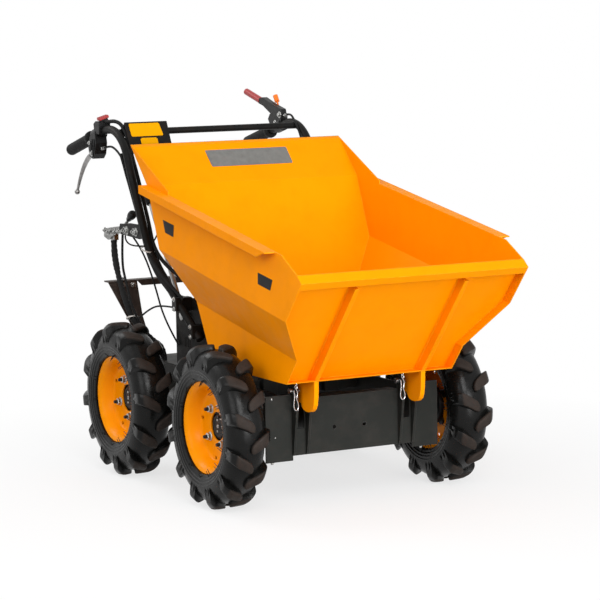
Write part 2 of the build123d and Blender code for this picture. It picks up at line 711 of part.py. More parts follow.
sleeve_dir = Vector(-0.967, 0, 0.255)
sleeve_foot = Vector(clutch_x - 118, bar_y, bar_z(clutch_x) + 68.4)
arm_half = 7.5
with BuildPart() as clutch_lever:
    end_low = (sleeve_foot.X - 0.255 * arm_half, sleeve_foot.Z - 0.967 * arm_half)
    end_high = (sleeve_foot.X + 0.255 * arm_half, sleeve_foot.Z + 0.967 * arm_half)
    plate_xz(clutch_top + placed([(-93, 55)], clutch_x, bar_z(clutch_x)) + [end_low, end_high]
             + placed([(-96, 79), (-37, 61), (19, 48)], clutch_x, bar_z(clutch_x)),
             bar_y - 8, bar_y + 8)
clutch_lever.part.label = "clutch_lever"
export_step(clutch_lever.part, "parts/clutch_lever.step")

with BuildPart() as clutch_grip:
    tip = sleeve_foot + sleeve_dir * 98.0
    rod_between(tuple(sleeve_foot), tuple(tip), 9.5)
    chamfer(clutch_grip.faces().sort_by(Axis.X)[0].edges(), 3)
clutch_grip.part.label = "clutch_grip"
export_step(clutch_grip.part, "parts/clutch_grip.step")

with BuildPart() as throttle_lever:
    tx, tz = clutch_x - 27, bar_z(clutch_x) + 31
    ty = bar_y + 16
    rod_y(tx, tz, 9, bar_y + 11, bar_y + 19)
    rod_between((tx, ty, tz), (tx - 24, ty, tz + 39), 2.4)
    rod_between((tx - 22, ty, tz + 36), (tx - 33, ty, tz + 53), 7)
throttle_lever.part.label = "throttle_lever"
export_step(throttle_lever.part, "parts/throttle_lever.step")

# Gear shift on a slotted plate that is held by the right handle tube
shift_z = 650.0
shift_x, shift_y = along_upper_tube(shift_z)
plate_face_y = -shift_y - 1.0
with BuildPart() as shift_bracket:
    plate_xz(placed([(-4, -19), (-4, 15), (-22, 18), (-147, 12), (-154, 0), (-147, -16),
                     (-22, -22)], shift_x, shift_z), plate_face_y - 5, plate_face_y)
    box_at(shift_x - 108, shift_x - 30, plate_face_y, plate_face_y + 10, shift_z + 11,
           shift_z + 15)
    for x in (-52, -112):
        box_at(shift_x + x - 16, shift_x + x + 16, plate_face_y - 10, plate_face_y + 5,
               shift_z - 9, shift_z, mode=Mode.SUBTRACT)
    rod_between(tube_points(-1)[1], tube_points(-1)[2], tube_r + tube_play, mode=Mode.SUBTRACT)
shift_bracket.part.label = "shift_bracket"
export_step(shift_bracket.part, "parts/shift_bracket.step")

# Zinc-plated linkage with the gear lever, on the inner side of that plate
with BuildPart() as shift_linkage:
    plate_xz(placed([(-128, 7), (-193, 0), (-268, -10), (-271, -32), (-243, -40), (-193, -18),
                     (-128, -12)], shift_x, shift_z), plate_face_y, plate_face_y + 5)
    rod_y(shift_x - 141, shift_z - 2, 8, plate_face_y, plate_face_y + 14)
    rod_y(shift_x - 179, shift_z - 8, 9, plate_face_y + 5, plate_face_y + 16)
    box_at(shift_x - 245, shift_x - 211, plate_face_y + 5, plate_face_y + 18, shift_z - 39,
           shift_z - 20)
    lever_y = plate_face_y + 12
    rod_between((shift_x - 179, lever_y, shift_z - 8), (shift_x - 127, lever_y, shift_z + 22), 4)
shift_linkage.part.label = "shift_linkage"
export_step(shift_linkage.part, "parts/shift_linkage.step")

with BuildPart() as shift_knob:
    # starts square on the end of the lever
    foot = Vector(shift_x - 127, lever_y, shift_z + 22)
    along = Vector(52, 0, 30).normalized()
    rod_between(tuple(foot), tuple(foot + along * 8), 6)
    rod_between(tuple(foot + along * 8), tuple(foot + along * 34), 9)
shift_knob.part.label = "shift_knob"
export_step(shift_knob.part, "parts/shift_knob.step")

# Skip release lever, pivoted on the right upright plate
release_y = -plate_out - 8.0
release_foot = (-165.0, upright_top - 50.0)
release_top = (-366.0, upright_top + 246.0)
with BuildPart() as release_lever:
    rod_between((release_foot[0], release_y, release_foot[1]),
                (release_top[0], release_y, release_top[1]), 6.5)
    rod_y(release_foot[0], release_foot[1], 12, -plate_out, release_y - 9)
release_lever.part.label = "release_lever"
export_step(release_lever.part, "parts/release_lever.step")

with BuildPart() as release_grip:
    along = Vector(release_top[0] - release_foot[0], 0, release_top[1] - release_foot[1])
    along = along.normalized()
    top = Vector(release_top[0], release_y, release_top[1])
    rod_between(tuple(top - along * 10), tuple(top + along * 32), 10)
    rod_between(tuple(top - along * 12), tuple(top), 6.5 + tube_play,
                mode=Mode.SUBTRACT)
release_grip.part.label = "release_grip"
export_step(release_grip.part, "parts/release_grip.step")

# Control cables, each held all the way, as straight runs with tangent arcs
sleeve_path = [(-505, -247, 610.2), (-503, -248, 582), (-484, -252, 545), (-450, -256, 495),
               (-424, -252, 450), (-400, -246, 400), (-384, -200, 345), (-380, -162, 318),
               (-380, -162, 285.3)]
with BuildPart() as cable_sleeve:
    bent_rod(sleeve_path, 9, [60, 80, 120, 120, 50, 50, 40])
cable_sleeve.part.label = "cable_sleeve"
export_step(cable_sleeve.part, "parts/cable_sleeve.step")

shift_strand = [(-436, -249.9, 644), (-451, -250, 554), (-424, -250, 501), (-385, -248, 420),
                (-366, -205, 345), (-359, -165, 318), (-359, -165, 285.3)]
shift_cable = [(-404.8, -254, 646), (-380, -252, 640), (-318, -240, 583), (-300, -220, 502),
               (-284, -202, 406), (-214, -193.6, 345)]
drive_cable = [(-366, -240, 406), (-314, -230, 438), (-250, -222, 452), (-157.2, -217, 451.5)]
brake_cable = [(-494.6, -279, 864), (-462, -279, 871), (-421, -279, 873), (-372, -279, 852),
               (-347, -279, 830)]
right_loom = [(-350, -279, 832.5), (-330, -276, 812), (-313, -268, 770), (-288, -234, 590),
              (-163, -212, 462)]
clutch_cable = [(-479.5, 279, 937), (-450, 279, 943), (-405, 268, 935), (-345, 262, 880),
                (-323, 264, 812)]
left_loom = [(-325, 264, 818), (-313, 268, 770), (-288, 234, 590), (-163, 212, 462)]
with BuildPart() as control_cables:
    bent_rod(shift_strand, 2.5, [60, 60, 60, 40, 25])
    bent_rod(shift_cable, 2.5, [30, 60, 80, 60])
    bent_rod(drive_cable, 2.5, [60, 60])
    bent_rod(brake_cable, 3, [60, 60, 30])
    bent_rod(right_loom, 5.5, [40, 60, 100])
    bent_rod(clutch_cable, 3, [60, 60, 60])
    bent_rod(left_loom, 5.5, [60, 100])
control_cables.part.label = "control_cables"
export_step(control_cables.part, "parts/control_cables.step")
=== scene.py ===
import json
from math import cos, pi, radians, sin

import bmesh
import bpy
from mathutils import Matrix, Vector, noise


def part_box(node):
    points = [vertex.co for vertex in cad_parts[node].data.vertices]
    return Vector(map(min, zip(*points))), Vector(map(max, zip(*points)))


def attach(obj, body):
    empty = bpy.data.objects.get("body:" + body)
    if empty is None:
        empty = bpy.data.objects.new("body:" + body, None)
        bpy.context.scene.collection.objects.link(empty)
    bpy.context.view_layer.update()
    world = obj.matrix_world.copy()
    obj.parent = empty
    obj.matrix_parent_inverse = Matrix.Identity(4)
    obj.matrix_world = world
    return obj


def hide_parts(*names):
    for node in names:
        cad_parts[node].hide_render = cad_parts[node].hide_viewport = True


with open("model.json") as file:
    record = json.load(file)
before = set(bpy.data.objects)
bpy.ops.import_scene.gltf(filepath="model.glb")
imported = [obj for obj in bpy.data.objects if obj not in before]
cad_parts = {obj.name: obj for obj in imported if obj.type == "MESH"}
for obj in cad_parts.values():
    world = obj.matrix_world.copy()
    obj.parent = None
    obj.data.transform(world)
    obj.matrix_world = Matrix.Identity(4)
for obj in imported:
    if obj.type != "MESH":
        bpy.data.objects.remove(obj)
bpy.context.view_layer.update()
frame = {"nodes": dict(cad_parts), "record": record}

scene = bpy.context.scene
MM = 0.001

# Sizes that part.py and this script share, in metres
tyre_r = 0.2055
tyre_half = 0.0525
axle_x = 0.272
skip_side = 0.314
rib_y = 0.152
rib_half = 0.0062
plate_x = 0.392
bar_y = 0.279
bar_fall = 0.2588
bar_end = (-0.710, 0.853)
cross_x = -0.397


def mm(*values):
    return Vector(values) * MM


def bar_z(x):
    return bar_end[1] + bar_fall * (x - bar_end[0])


# Materials

def node(tree, kind, **inputs):
    made = tree.nodes.new(kind)
    for key, value in inputs.items():
        made.inputs[key.replace("_", " ")].default_value = value
    return made


def noise_node(tree, vector, scale, detail=3.0, rough=0.55):
    made = node(tree, "ShaderNodeTexNoise", Scale=scale, Detail=detail, Roughness=rough)
    tree.links.new(vector, made.inputs["Vector"])
    return made.outputs["Fac"]


def spread(tree, value, low, high, to_low=0.0, to_high=1.0, clamp=True):
    made = node(tree, "ShaderNodeMapRange", From_Min=low, From_Max=high, To_Min=to_low, To_Max=to_high)
    made.clamp = clamp
    tree.links.new(value, made.inputs["Value"])
    return made.outputs["Result"]


def maths(tree, operation, *terms, kind="Math"):
    """The result of one operation on numbers, vectors and sockets."""
    made = tree.nodes.new("ShaderNode" + kind)
    made.operation = operation
    for k, value in enumerate(terms):
        if isinstance(value, (float, tuple)):
            made.inputs[k].default_value = value
        else:
            tree.links.new(value, made.inputs[k])
    return made.outputs["Value" if operation in ("LENGTH", "DOT_PRODUCT") else 0]


def mixed(tree, factor, a, b):
    made = tree.nodes.new("ShaderNodeMix")
    made.data_type = "RGBA"
    tree.links.new(factor, made.inputs["Factor"])
    for key, value in (("A", a), ("B", b)):
        socket = [s for s in made.inputs if s.name == key and s.type == "RGBA"][0]
        if isinstance(value, tuple):
            socket.default_value = (*value, 1)
        else:
            tree.links.new(value, socket)
    return [s for s in made.outputs if s.type == "RGBA"][0]


def tinted(colour, share):
    return tuple(min(1.0, c * share) for c in colour)


def finish(name, colour, rough, metal=0.0, specular=0.5, coat=0.0, mottle=0.08, patch=7.0,
           grain=0.12, grain_scale=700.0, rough_play=0.08, edge=None, edge_share=0.6, bevel=0.0,
           dirt=None, dirt_share=0.3, stretch=(1, 1, 1), radial=None):
    """A surface with patches of tone, fine grain, uneven gloss and, where asked, lighter edges (worn on
    the dark and metal materials, a painted highlight on the orange paints) and dust.
    """
    made = bpy.data.materials.new(name)
    made.use_nodes = True
    tree = made.node_tree
    shader = tree.nodes["Principled BSDF"]
    shader.inputs["Metallic"].default_value = metal
    shader.inputs["Specular IOR Level"].default_value = specular
    shader.inputs["Coat Weight"].default_value = coat
    shader.inputs["Coat Roughness"].default_value = 0.25
    place = tree.nodes.new("ShaderNodeTexCoord").outputs["Object"]
    stretched = node(tree, "ShaderNodeMapping", Scale=stretch)
    tree.links.new(place, stretched.inputs["Vector"])
    tone = spread(tree, noise_node(tree, place, patch, 5.0), 0.3, 0.7)
    paint = mixed(tree, tone, tinted(colour, 1 - mottle), tinted(colour, 1 + mottle))
    uneven = noise_node(tree, place, patch * 4, 4.0)
    if radial:
        # dust only beyond a distance from the axle
        flat = maths(tree, "MULTIPLY", place, (1.0, 0.0, 1.0), kind="VectorMath")
        outer = spread(tree, maths(tree, "LENGTH", flat, kind="VectorMath"), *radial)
        speck = spread(tree, noise_node(tree, place, 60.0, 6.0, 0.7), 0.3, 0.65, 0.45, 1.0)
        stain = maths(tree, "MULTIPLY", outer, speck)
    elif dirt:
        blots = spread(tree, noise_node(tree, place, patch * 2.3, 6.0, 0.65), 0.46, 0.72)
        stain = maths(tree, "MULTIPLY", blots, dirt_share)
    if dirt:
        paint = mixed(tree, stain, paint, dirt)
    normal = None
    if bevel:
        rounded = tree.nodes.new("ShaderNodeBevel")
        rounded.samples = 4
        rounded.inputs["Radius"].default_value = bevel
        normal = rounded.outputs["Normal"]
        # lighter colour along bevelled edges: worn edges on the dark and metal materials, a painted
        # highlight on the orange paints
        if edge:
            flat = tree.nodes.new("ShaderNodeNewGeometry").outputs["Normal"]
            turned = maths(tree, "DOT_PRODUCT", normal, flat, kind="VectorMath")
            edge_patches = spread(tree, noise_node(tree, place, 45.0, 4.0), 0.35, 0.6)
            edge_wear_and_highlight = maths(tree, "MULTIPLY", spread(tree, turned, 0.985, 0.86), edge_patches)
            paint = mixed(tree, maths(tree, "MULTIPLY", edge_wear_and_highlight, edge_share), paint, edge)
    tree.links.new(paint, shader.inputs["Base Color"])
    gloss = spread(tree, uneven, 0.3, 0.7, max(0.03, rough - rough_play), min(1.0, rough + rough_play))
    if radial:
        gloss = maths(tree, "ADD", gloss, spread(tree, stain, 0.1, 0.8, 0.0, 0.42))
    tree.links.new(gloss, shader.inputs["Roughness"])
    bump = node(tree, "ShaderNodeBump", Strength=grain, Distance=0.0006)
    tree.links.new(noise_node(tree, stretched.outputs["Vector"], grain_scale, 2.0), bump.inputs["Height"])
    if normal:
        tree.links.new(normal, bump.inputs["Normal"])
    tree.links.new(bump.outputs["Normal"], shader.inputs["Normal"])
    return made


orange = (0.97, 0.298, 0.0)
mats = {
    # its lighter orange edges are a painted highlight along the folds and rail edges
    "orange_paint": finish("orange_paint", orange, 0.40, specular=0.03, mottle=0.03,
                           grain=0.12, grain_scale=420.0, edge=(1.0, 0.47, 0.03), edge_share=0.8,
                           bevel=0.0022, dirt=(0.70, 0.20, 0.0), dirt_share=0.18),
    "chassis_grey": finish("chassis_grey", (0.0155, 0.0165, 0.0145), 0.56, specular=0.13, mottle=0.16,
                           grain=0.30, grain_scale=820.0, edge=(0.16, 0.155, 0.15), edge_share=0.6,
                           bevel=0.0013, dirt=(0.036, 0.032, 0.028), dirt_share=0.45),
    "tyre": finish("tyre_rubber", (0.0036, 0.0036, 0.0034), 0.29, specular=0.16, mottle=0.2,
                   patch=14.0, grain=0.25, grain_scale=420.0, rough_play=0.10,
                   dirt=(0.030, 0.022, 0.018), radial=(0.1965, 0.2015)),
    "zinc_steel": finish("zinc_steel", (0.44, 0.44, 0.43), 0.34, metal=1.0, mottle=0.10, patch=22.0,
                         grain=0.18, grain_scale=300.0, stretch=(1, 1, 9), rough_play=0.10,
                         edge=(0.75, 0.75, 0.74), edge_share=0.5, bevel=0.0006,
                         dirt=(0.22, 0.19, 0.16), dirt_share=0.35),
    "chrome": finish("chrome", (0.60, 0.60, 0.61), 0.14, metal=1.0, mottle=0.04, patch=20.0,
                     grain=0.04, grain_scale=200.0, rough_play=0.05),
    "black_rubber": finish("black_rubber", (0.0060, 0.0060, 0.0060), 0.62, specular=0.16, mottle=0.18,
                           patch=25.0, grain=0.28, grain_scale=900.0),
    "black_plastic": finish("black_plastic", (0.0060, 0.0060, 0.0062), 0.42, specular=0.22, mottle=0.12,
                            patch=20.0, grain=0.20, grain_scale=1300.0, edge=(0.07, 0.07, 0.07),
                            edge_share=0.35, bevel=0.0012),
    "red_plastic": finish("red_plastic", (0.36, 0.018, 0.018), 0.40, specular=0.4, mottle=0.08,
                          patch=40.0, grain=0.10, grain_scale=1200.0, edge=(0.55, 0.06, 0.05),
                          edge_share=0.4, bevel=0.0012),
    "orange_plastic": finish("orange_plastic", (0.80, 0.17, 0.01), 0.38, specular=0.4, mottle=0.06,
                             patch=40.0, grain=0.08, grain_scale=1200.0),
    "engine_alloy": finish("engine_alloy", (0.34, 0.34, 0.335), 0.48, metal=0.85, mottle=0.12,
                           patch=18.0, grain=0.55, grain_scale=520.0, edge=(0.62, 0.62, 0.61),
                           edge_share=0.5, bevel=0.0012, dirt=(0.10, 0.09, 0.08), dirt_share=0.45),
    "cast_grey": finish("cast_grey", (0.050, 0.051, 0.050), 0.70, specular=0.3, mottle=0.18,
                        patch=14.0, grain=0.85, grain_scale=330.0, edge=(0.15, 0.15, 0.145),
                        edge_share=0.45, bevel=0.0018, dirt=(0.045, 0.036, 0.028), dirt_share=0.5),
}
decal_black = finish("decal_black", (0.015, 0.015, 0.016), 0.40, specular=0.05, mottle=0.10,
                     grain=0.05, grain_scale=300.0)
label_yellow = finish("label_yellow", (0.74, 0.335, 0.0), 0.40, specular=0.05, mottle=0.03,
                      grain=0.05, grain_scale=300.0)
label_grey = finish("label_grey", (0.17, 0.17, 0.16), 0.38, metal=0.2, specular=0.2, mottle=0.12,
                    patch=60.0, grain=0.10, grain_scale=300.0)
tube_black = finish("tube_black", (0.0065, 0.0065, 0.0062), 0.44, specular=0.10, mottle=0.15,
                    patch=16.0, grain=0.30, grain_scale=900.0, edge=(0.06, 0.05, 0.045), edge_share=0.4,
                    bevel=0.001, dirt=(0.030, 0.018, 0.012), dirt_share=0.35)
# its lighter orange edges are a painted highlight along the rolled flanges
rim_paint = finish("rim_paint", (0.97, 0.31, 0.0), 0.24, specular=0.06, coat=0.03, mottle=0.03,
                   grain=0.06, grain_scale=300.0, rough_play=0.05, edge=(1.0, 0.47, 0.03),
                   edge_share=0.5, bevel=0.0015, dirt=(0.62, 0.17, 0.0), dirt_share=0.25)
worn_steel = finish("worn_steel", (0.060, 0.043, 0.036), 0.50, specular=0.2, mottle=0.30, patch=30.0,
                    grain=0.40, grain_scale=500.0, edge=(0.20, 0.15, 0.12), edge_share=0.6, bevel=0.0013,
                    dirt=(0.018, 0.016, 0.015), dirt_share=0.7)
plated = finish("plated", (0.30, 0.30, 0.29), 0.30, metal=1.0, mottle=0.45, patch=60.0, grain=0.35,
                grain_scale=240.0, rough_play=0.12, edge=(0.70, 0.70, 0.69), edge_share=0.7, bevel=0.0008,
                dirt=(0.035, 0.033, 0.030), dirt_share=0.85)
lever_alloy = finish("lever_alloy", (0.27, 0.265, 0.26), 0.26, metal=1.0, mottle=0.25, patch=45.0,
                     grain=0.25, grain_scale=260.0, rough_play=0.10, dirt=(0.10, 0.075, 0.065),
                     dirt_share=0.6)
tie_nylon = finish("tie_nylon", (0.62, 0.60, 0.56), 0.40, specular=0.4, mottle=0.05, grain=0.05)
braid = finish("braid", (0.011, 0.011, 0.011), 0.80, specular=0.2, mottle=0.3, patch=30.0,
               grain=0.9, grain_scale=420.0)

own_look = {"rear_guard": worn_steel, "shift_linkage": plated}
for black in ("handle_frame", "tube_clamps", "side_plates", "shift_bracket", "console_plate"):
    own_look[black] = tube_black
for part in frame["record"]["subparts"]:
    cad = frame["nodes"][part["node"]]
    wanted = own_look.get(part["node"], mats[part["material_slot"]])
    if not cad.material_slots:
        cad.data.materials.append(wanted)
    for held in cad.material_slots:
        held.material = wanted


# Mesh helpers

def put(name, shape, body, slot_name, material=None, place=(0, 0, 0), sharp=35, stands_for=None):
    """Adds a mesh, or what a bmesh holds, to a body, in place of a CAD node if one is named."""
    mesh = shape if isinstance(shape, bpy.types.Mesh) else to_mesh(name, shape)
    mesh.name = name
    mesh.shade_smooth()
    mesh.set_sharp_from_angle(angle=radians(sharp))
    piece = bpy.data.objects.new(name, mesh)
    scene.collection.objects.link(piece)
    piece.location = place
    mesh.materials.append(material or mats[slot_name])
    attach(piece, body)
    if stands_for:
        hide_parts(stands_for)


def to_mesh(name, bm):
    bmesh.ops.recalc_face_normals(bm, faces=bm.faces)
    mesh = bpy.data.meshes.new(name)
    bm.to_mesh(mesh)
    bm.free()
    return mesh


def along(origin, direction):
    turn = Vector(direction).to_track_quat("Z", "Y").to_matrix().to_4x4()
    return Matrix.Translation(Vector(origin)) @ turn


def lathe(bm, profile, segments=48, place=Matrix(), closed=False):
    """Turns a profile of radius and height about the place's own Z axis."""
    rings = []
    for r, a in profile:
        if r < 1e-7:
            rings.append([bm.verts.new(place @ Vector((0, 0, a)))])
            continue
        ring = []
        for k in range(segments):
            t = 2 * pi * k / segments
            ring.append(bm.verts.new(place @ Vector((r * cos(t), r * sin(t), a))))
        rings.append(ring)
    pairs = list(zip(rings, rings[1:]))
    if closed:
        pairs.append((rings[-1], rings[0]))
    for low, high in pairs:
        for k in range(segments):
            j = (k + 1) % segments
            quad = [low[k % len(low)], low[j % len(low)], high[j % len(high)], high[k % len(high)]]
            corners = list(dict.fromkeys(quad))
            if len(corners) > 2:
                bm.faces.new(corners)


def hex_bolt(bm, origin, direction, across=0.010, height=0.006, washer=0.0015, stud=0.0, spin=0.0):
    """A washer, a chamfered hexagon and, for a nut, the end of its stud."""
    place = along(origin, direction) @ Matrix.Rotation(spin, 4, "Z")
    r = across / 2 / cos(pi / 6)
    wide = across * 0.95
    if washer:
        ring = [(0, 0), (wide, 0), (wide, washer * 0.7), (wide - 0.0004, washer), (0, washer)]
        lathe(bm, ring, 24, place)
    top = washer + height
    head = [(0, washer), (r, washer), (r, top - height * 0.16), (r * 0.86, top), (0, top)]
    lathe(bm, head, 6, place)
    if stud:
        rs = across * 0.31
        lathe(bm, [(0, top), (rs, top), (rs, top + stud - 0.0008), (rs - 0.0008, top + stud),
                   (0, top + stud)], 14, place)


def dome_screw(bm, origin, direction, r=0.005, height=0.003):
    place = along(origin, direction)
    steps = [(r * cos(t), height * sin(t)) for t in (0, 0.35, 0.7, 1.05, 1.35)]
    lathe(bm, [(r, -0.001)] + steps + [(r * 0.3, height * 0.98), (r * 0.24, height * 0.55),
                                       (0, height * 0.55)], 18, place)


def spline_points(points, steps=10):
    """Points on a smooth NURBS line through a given route."""
    curve = bpy.data.curves.new("route", "CURVE")
    curve.dimensions = "3D"
    spline = curve.splines.new("NURBS")
    spline.points.add(len(points) - 1)
    for knot, co in zip(spline.points, points):
        knot.co = (*co, 1)
    spline.order_u = 3
    spline.use_endpoint_u = True
    spline.resolution_u = steps
    holder = bpy.data.objects.new("route", curve)
    mesh = bpy.data.meshes.new_from_object(holder)
    found = [v.co.copy() for v in mesh.vertices]
    bpy.data.objects.remove(holder)
    bpy.data.curves.remove(curve)
    bpy.data.meshes.remove(mesh)
    return found


def evenly(points, pitch):
    """The same line with points a fixed distance apart."""
    out = [points[0]]
    left = pitch
    for a, b in zip(points, points[1:]):
        run = (b - a).length
        gone = 0.0
        while run - gone >= left:
            gone += left
            out.append(a.lerp(b, gone / run))
            left = pitch
        left -= run - gone
    if (out[-1] - points[-1]).length > pitch * 0.3:
        out.append(points[-1])
    return out


def route_of(points, pitch, steps=12):
    """Even steps along a smooth line whose points are given in mm."""
    return evenly(spline_points([mm(*p) for p in points], steps), pitch)


def tube(bm, points, radius_at, segments=14, squeeze=1.0, side=Vector((0, 1, 0))):
    """A closed tube of changing radius along a line of points."""
    rings = []
    for k, p in enumerate(points):
        ahead = points[min(k + 1, len(points) - 1)] - points[max(k - 1, 0)]
        ahead.normalize()
        across = (side - ahead * side.dot(ahead)).normalized()
        up = ahead.cross(across)
        r = radius_at(k, k / (len(points) - 1))
        rings.append([bm.verts.new(p + across * (r * squeeze * cos(t)) + up * (r * sin(t)))
                      for t in (2 * pi * j / segments for j in range(segments))])
    for low, high in zip(rings, rings[1:]):
        for j in range(segments):
            i = (j + 1) % segments
            bm.faces.new((low[j], low[i], high[i], high[j]))
    bm.faces.new(rings[0][::-1])
    bm.faces.new(rings[-1])


label_lift = 0.0003
label_thick = 0.0005


def label(name, corners, outward, material, body, slot_name, corner_r):
    """A thin rounded sheet on the surface of its four corners, on the side that outward names."""
    bm = bmesh.new()
    points = [Vector(c) for c in corners]
    out = (points[1] - points[0]).cross(points[3] - points[0]).normalized()
    if out.dot(Vector(outward)) < 0:
        out = -out
    face = bm.faces.new([bm.verts.new(p + out * label_lift) for p in points])
    bmesh.ops.bevel(bm, geom=list(face.verts), offset=corner_r, segments=4, affect="VERTICES")
    top = bmesh.ops.extrude_face_region(bm, geom=list(bm.faces))
    for v in [g for g in top["geom"] if isinstance(g, bmesh.types.BMVert)]:
        v.co += out * label_thick
    put(name, bm, body, slot_name, material)


def bead(bm, start, end, r=0.0022, pitch=0.0030):
    """A weld bead of overlapping ripples between two points."""
    start, end = Vector(start), Vector(end)
    line = evenly([start, end], pitch / 2)
    tube(bm, line, lambda k, f: r * (1.0 if k % 2 else 0.82) * (1 + 0.12 * noise.noise(line[k] * 90)),
         8, side=Vector((0.3, 0.9, 0.2)))


# The wheels: profiles in mm, drawn with the axle along Z and laid down along Y

crest, shoulder = tyre_r / MM, tyre_half / MM
side_wall_foot = 158.0
lug_count, lug_foot, lug_reach = 24, 157.0, 57.5
lay_down = Matrix.Rotation(radians(-90), 4, "X")
nut_circle = 0.051
hole_circle = 0.082
tread_profile = [(0.0000, 193.4), (10.0, 193.0), (19.0, 191.6), (27.0, 188.8), (34.0, 184.6),
                 (40.0, 178.8), (45.0, 171.0), (48.4, 162.0), (50.4, 153.0), (50.9, 148.0), (50.5, 145.0),
                 (51.0, 144.0), (50.2, 143.0), (49.6, 137.5), (49.9, 136.4), (48.8, 135.4), (47.4, 130.0),
                 (47.7, 129.0), (46.6, 128.2), (45.2, 123.5), (44.6, 120.4), (43.9, 118.2), (42.6, 116.6)]


def carcass_at(y):
    """Radius of the bare carcass at a distance from the tyre's middle, in mm."""
    for (y0, r0), (y1, r1) in zip(tread_profile, tread_profile[1:]):
        if y0 <= y <= y1:
            return r0 + (r1 - r0) * (y - y0) / (y1 - y0)
    return side_wall_foot


def carcass_side(r):
    """Distance of the bare side wall from the tyre's middle at a radius, in mm."""
    for (y0, r0), (y1, r1) in zip(tread_profile, tread_profile[1:]):
        if r1 <= r <= r0:
            return y0 + (y1 - y0) * (r0 - r) / (r0 - r1)


def outline_at(y_in):
    """Trailing and leading edge of a lug, in mm round the tyre, at a distance in from the shoulder."""
    low = [(0.0, -34.0), (32.5, -13.0), (lug_reach, 4.0)]
    high = [(0.0, 3.0), (30.5, 17.0), (lug_reach, 33.0)]
    ends = []
    for line in (low, high):
        for (d0, c0), (d1, c1) in zip(line, line[1:]):
            if y_in <= d1 or d1 == lug_reach:
                f = max(0.0, min(1.0, (y_in - d0) / (d1 - d0)))
                ends.append(c0 + (c1 - c0) * f)
                break
    return ends


def lug(bm, turn, side):
    """One tread lug: a rounded block whose outline bends towards the tyre's middle."""
    # distance in from the shoulder, radius of the top, and how far both edges draw in
    rows = [(0.6, lug_foot, 2.0), (0.2, 172.0, 2.5), (0.0, 183.0, 3.0), (0.5, 186.5, 3.4),
            (1.9, 189.4, 3.2), (5.0, 193.6, 2.2), (10.0, 198.6, 0.8), (16.0, 202.8, 0.0),
            (23.0, 205.0, 0.0), (32.0, crest, 0.0), (41.0, crest, 0.0), (48.0, crest, 0.6),
            (52.5, 205.4, 2.4), (55.2, 204.9, 5.0), (56.8, 203.6, 7.6), (lug_reach, 200.5, 9.6),
            (59.6, 0.0, 10.5)]
    grid = []
    for y_in, r_row, pinch in rows:
        c0, c1 = outline_at(y_in)
        c0, c1 = c0 + pinch, c1 - pinch
        width = c1 - c0
        base = carcass_at(abs(shoulder - y_in)) - 2.5
        # how far each column lies below the lug's top, with none for its two feet
        cols = [(-3.0, None), (0.0, 4.6), (0.8, 1.5), (2.6, 0.3), (width * 0.33, 0.0), (width * 0.67, 0.0),
                (width - 2.6, 0.3), (width - 0.8, 1.5), (width, 4.6), (width + 3.0, None)]
        row = []
        for c_in, drop in cols:
            if r_row and drop is not None:
                r = max(r_row - drop, min(base, r_row))
            else:
                r = min(base, r_row) if r_row else base
            angle = turn + (c0 + c_in) / crest
            y = side * (49.6 if r_row == lug_foot else shoulder - y_in)
            row.append(bm.verts.new(mm(r * sin(angle), y, r * cos(angle))))
        grid.append(row)
    for a, b in zip(grid, grid[1:]):
        for k in range(len(a) - 1):
            bm.faces.new((a[k], a[k + 1], b[k + 1], b[k]))


def tyre_mesh(turned):
    """Smooth carcass with ringed side walls, 24 lugs and their buttresses, turned by some degrees."""
    bm = bmesh.new()
    half = [(r * MM, y * MM) for y, r in tread_profile]
    loop = [(r, -y) for r, y in reversed(half)] + half[1:]
    lathe(bm, loop, 120, lay_down, closed=True)
    for k in range(lug_count):
        side = 1 if k % 2 else -1
        at = radians(360 / lug_count * k + turned)
        lug(bm, at, side)
        # buttress that carries the lug down the side wall
        rows = []
        for y, r, wide in ((50.6, 146, 1.5), (51.6, 156, 5.0), (52.0, 166, 10.0), (52.2, 178, 14.0)):
            made = []
            for share in (-1, -0.6, 0, 0.6, 1):
                out = y if abs(share) < 1 else min(y, 50.0) - 1.5
                a = at - 15.0 / crest + share * wide / r
                made.append(bm.verts.new(mm(r * sin(a), side * out, r * cos(a))))
            rows.append(made)
        for a, b in zip(rows, rows[1:]):
            for j in range(4):
                bm.faces.new((a[j], a[j + 1], b[j + 1], b[j]))
    # rubber hairs left by the mould beside the rim, most of them leaning in over it
    for k in range(64):
        a = radians(13 * k + 3)
        side = 1 if k % 2 else -1
        r = (119.5 + 3.5 * (k % 3)) * MM
        y = carcass_side(r / MM) * MM
        foot = Vector((r * sin(a), side * (y - 0.0008), r * cos(a)))
        lean = Vector((-0.9 * sin(a + 0.2), side * (0.36 + 0.07 * (k % 4)), -0.9 * cos(a + 0.2)))
        lean.normalize()
        length = min((tyre_half - y) / abs(lean.y) * 0.92, 0.0165)
        lathe(bm, [(0.0011, 0), (0.0007, length), (0, length)], 5, along(foot, lean))
    return bm


def on_circle(radius, angle, y=0.0):
    return Vector((radius * cos(angle), y, radius * sin(angle)))


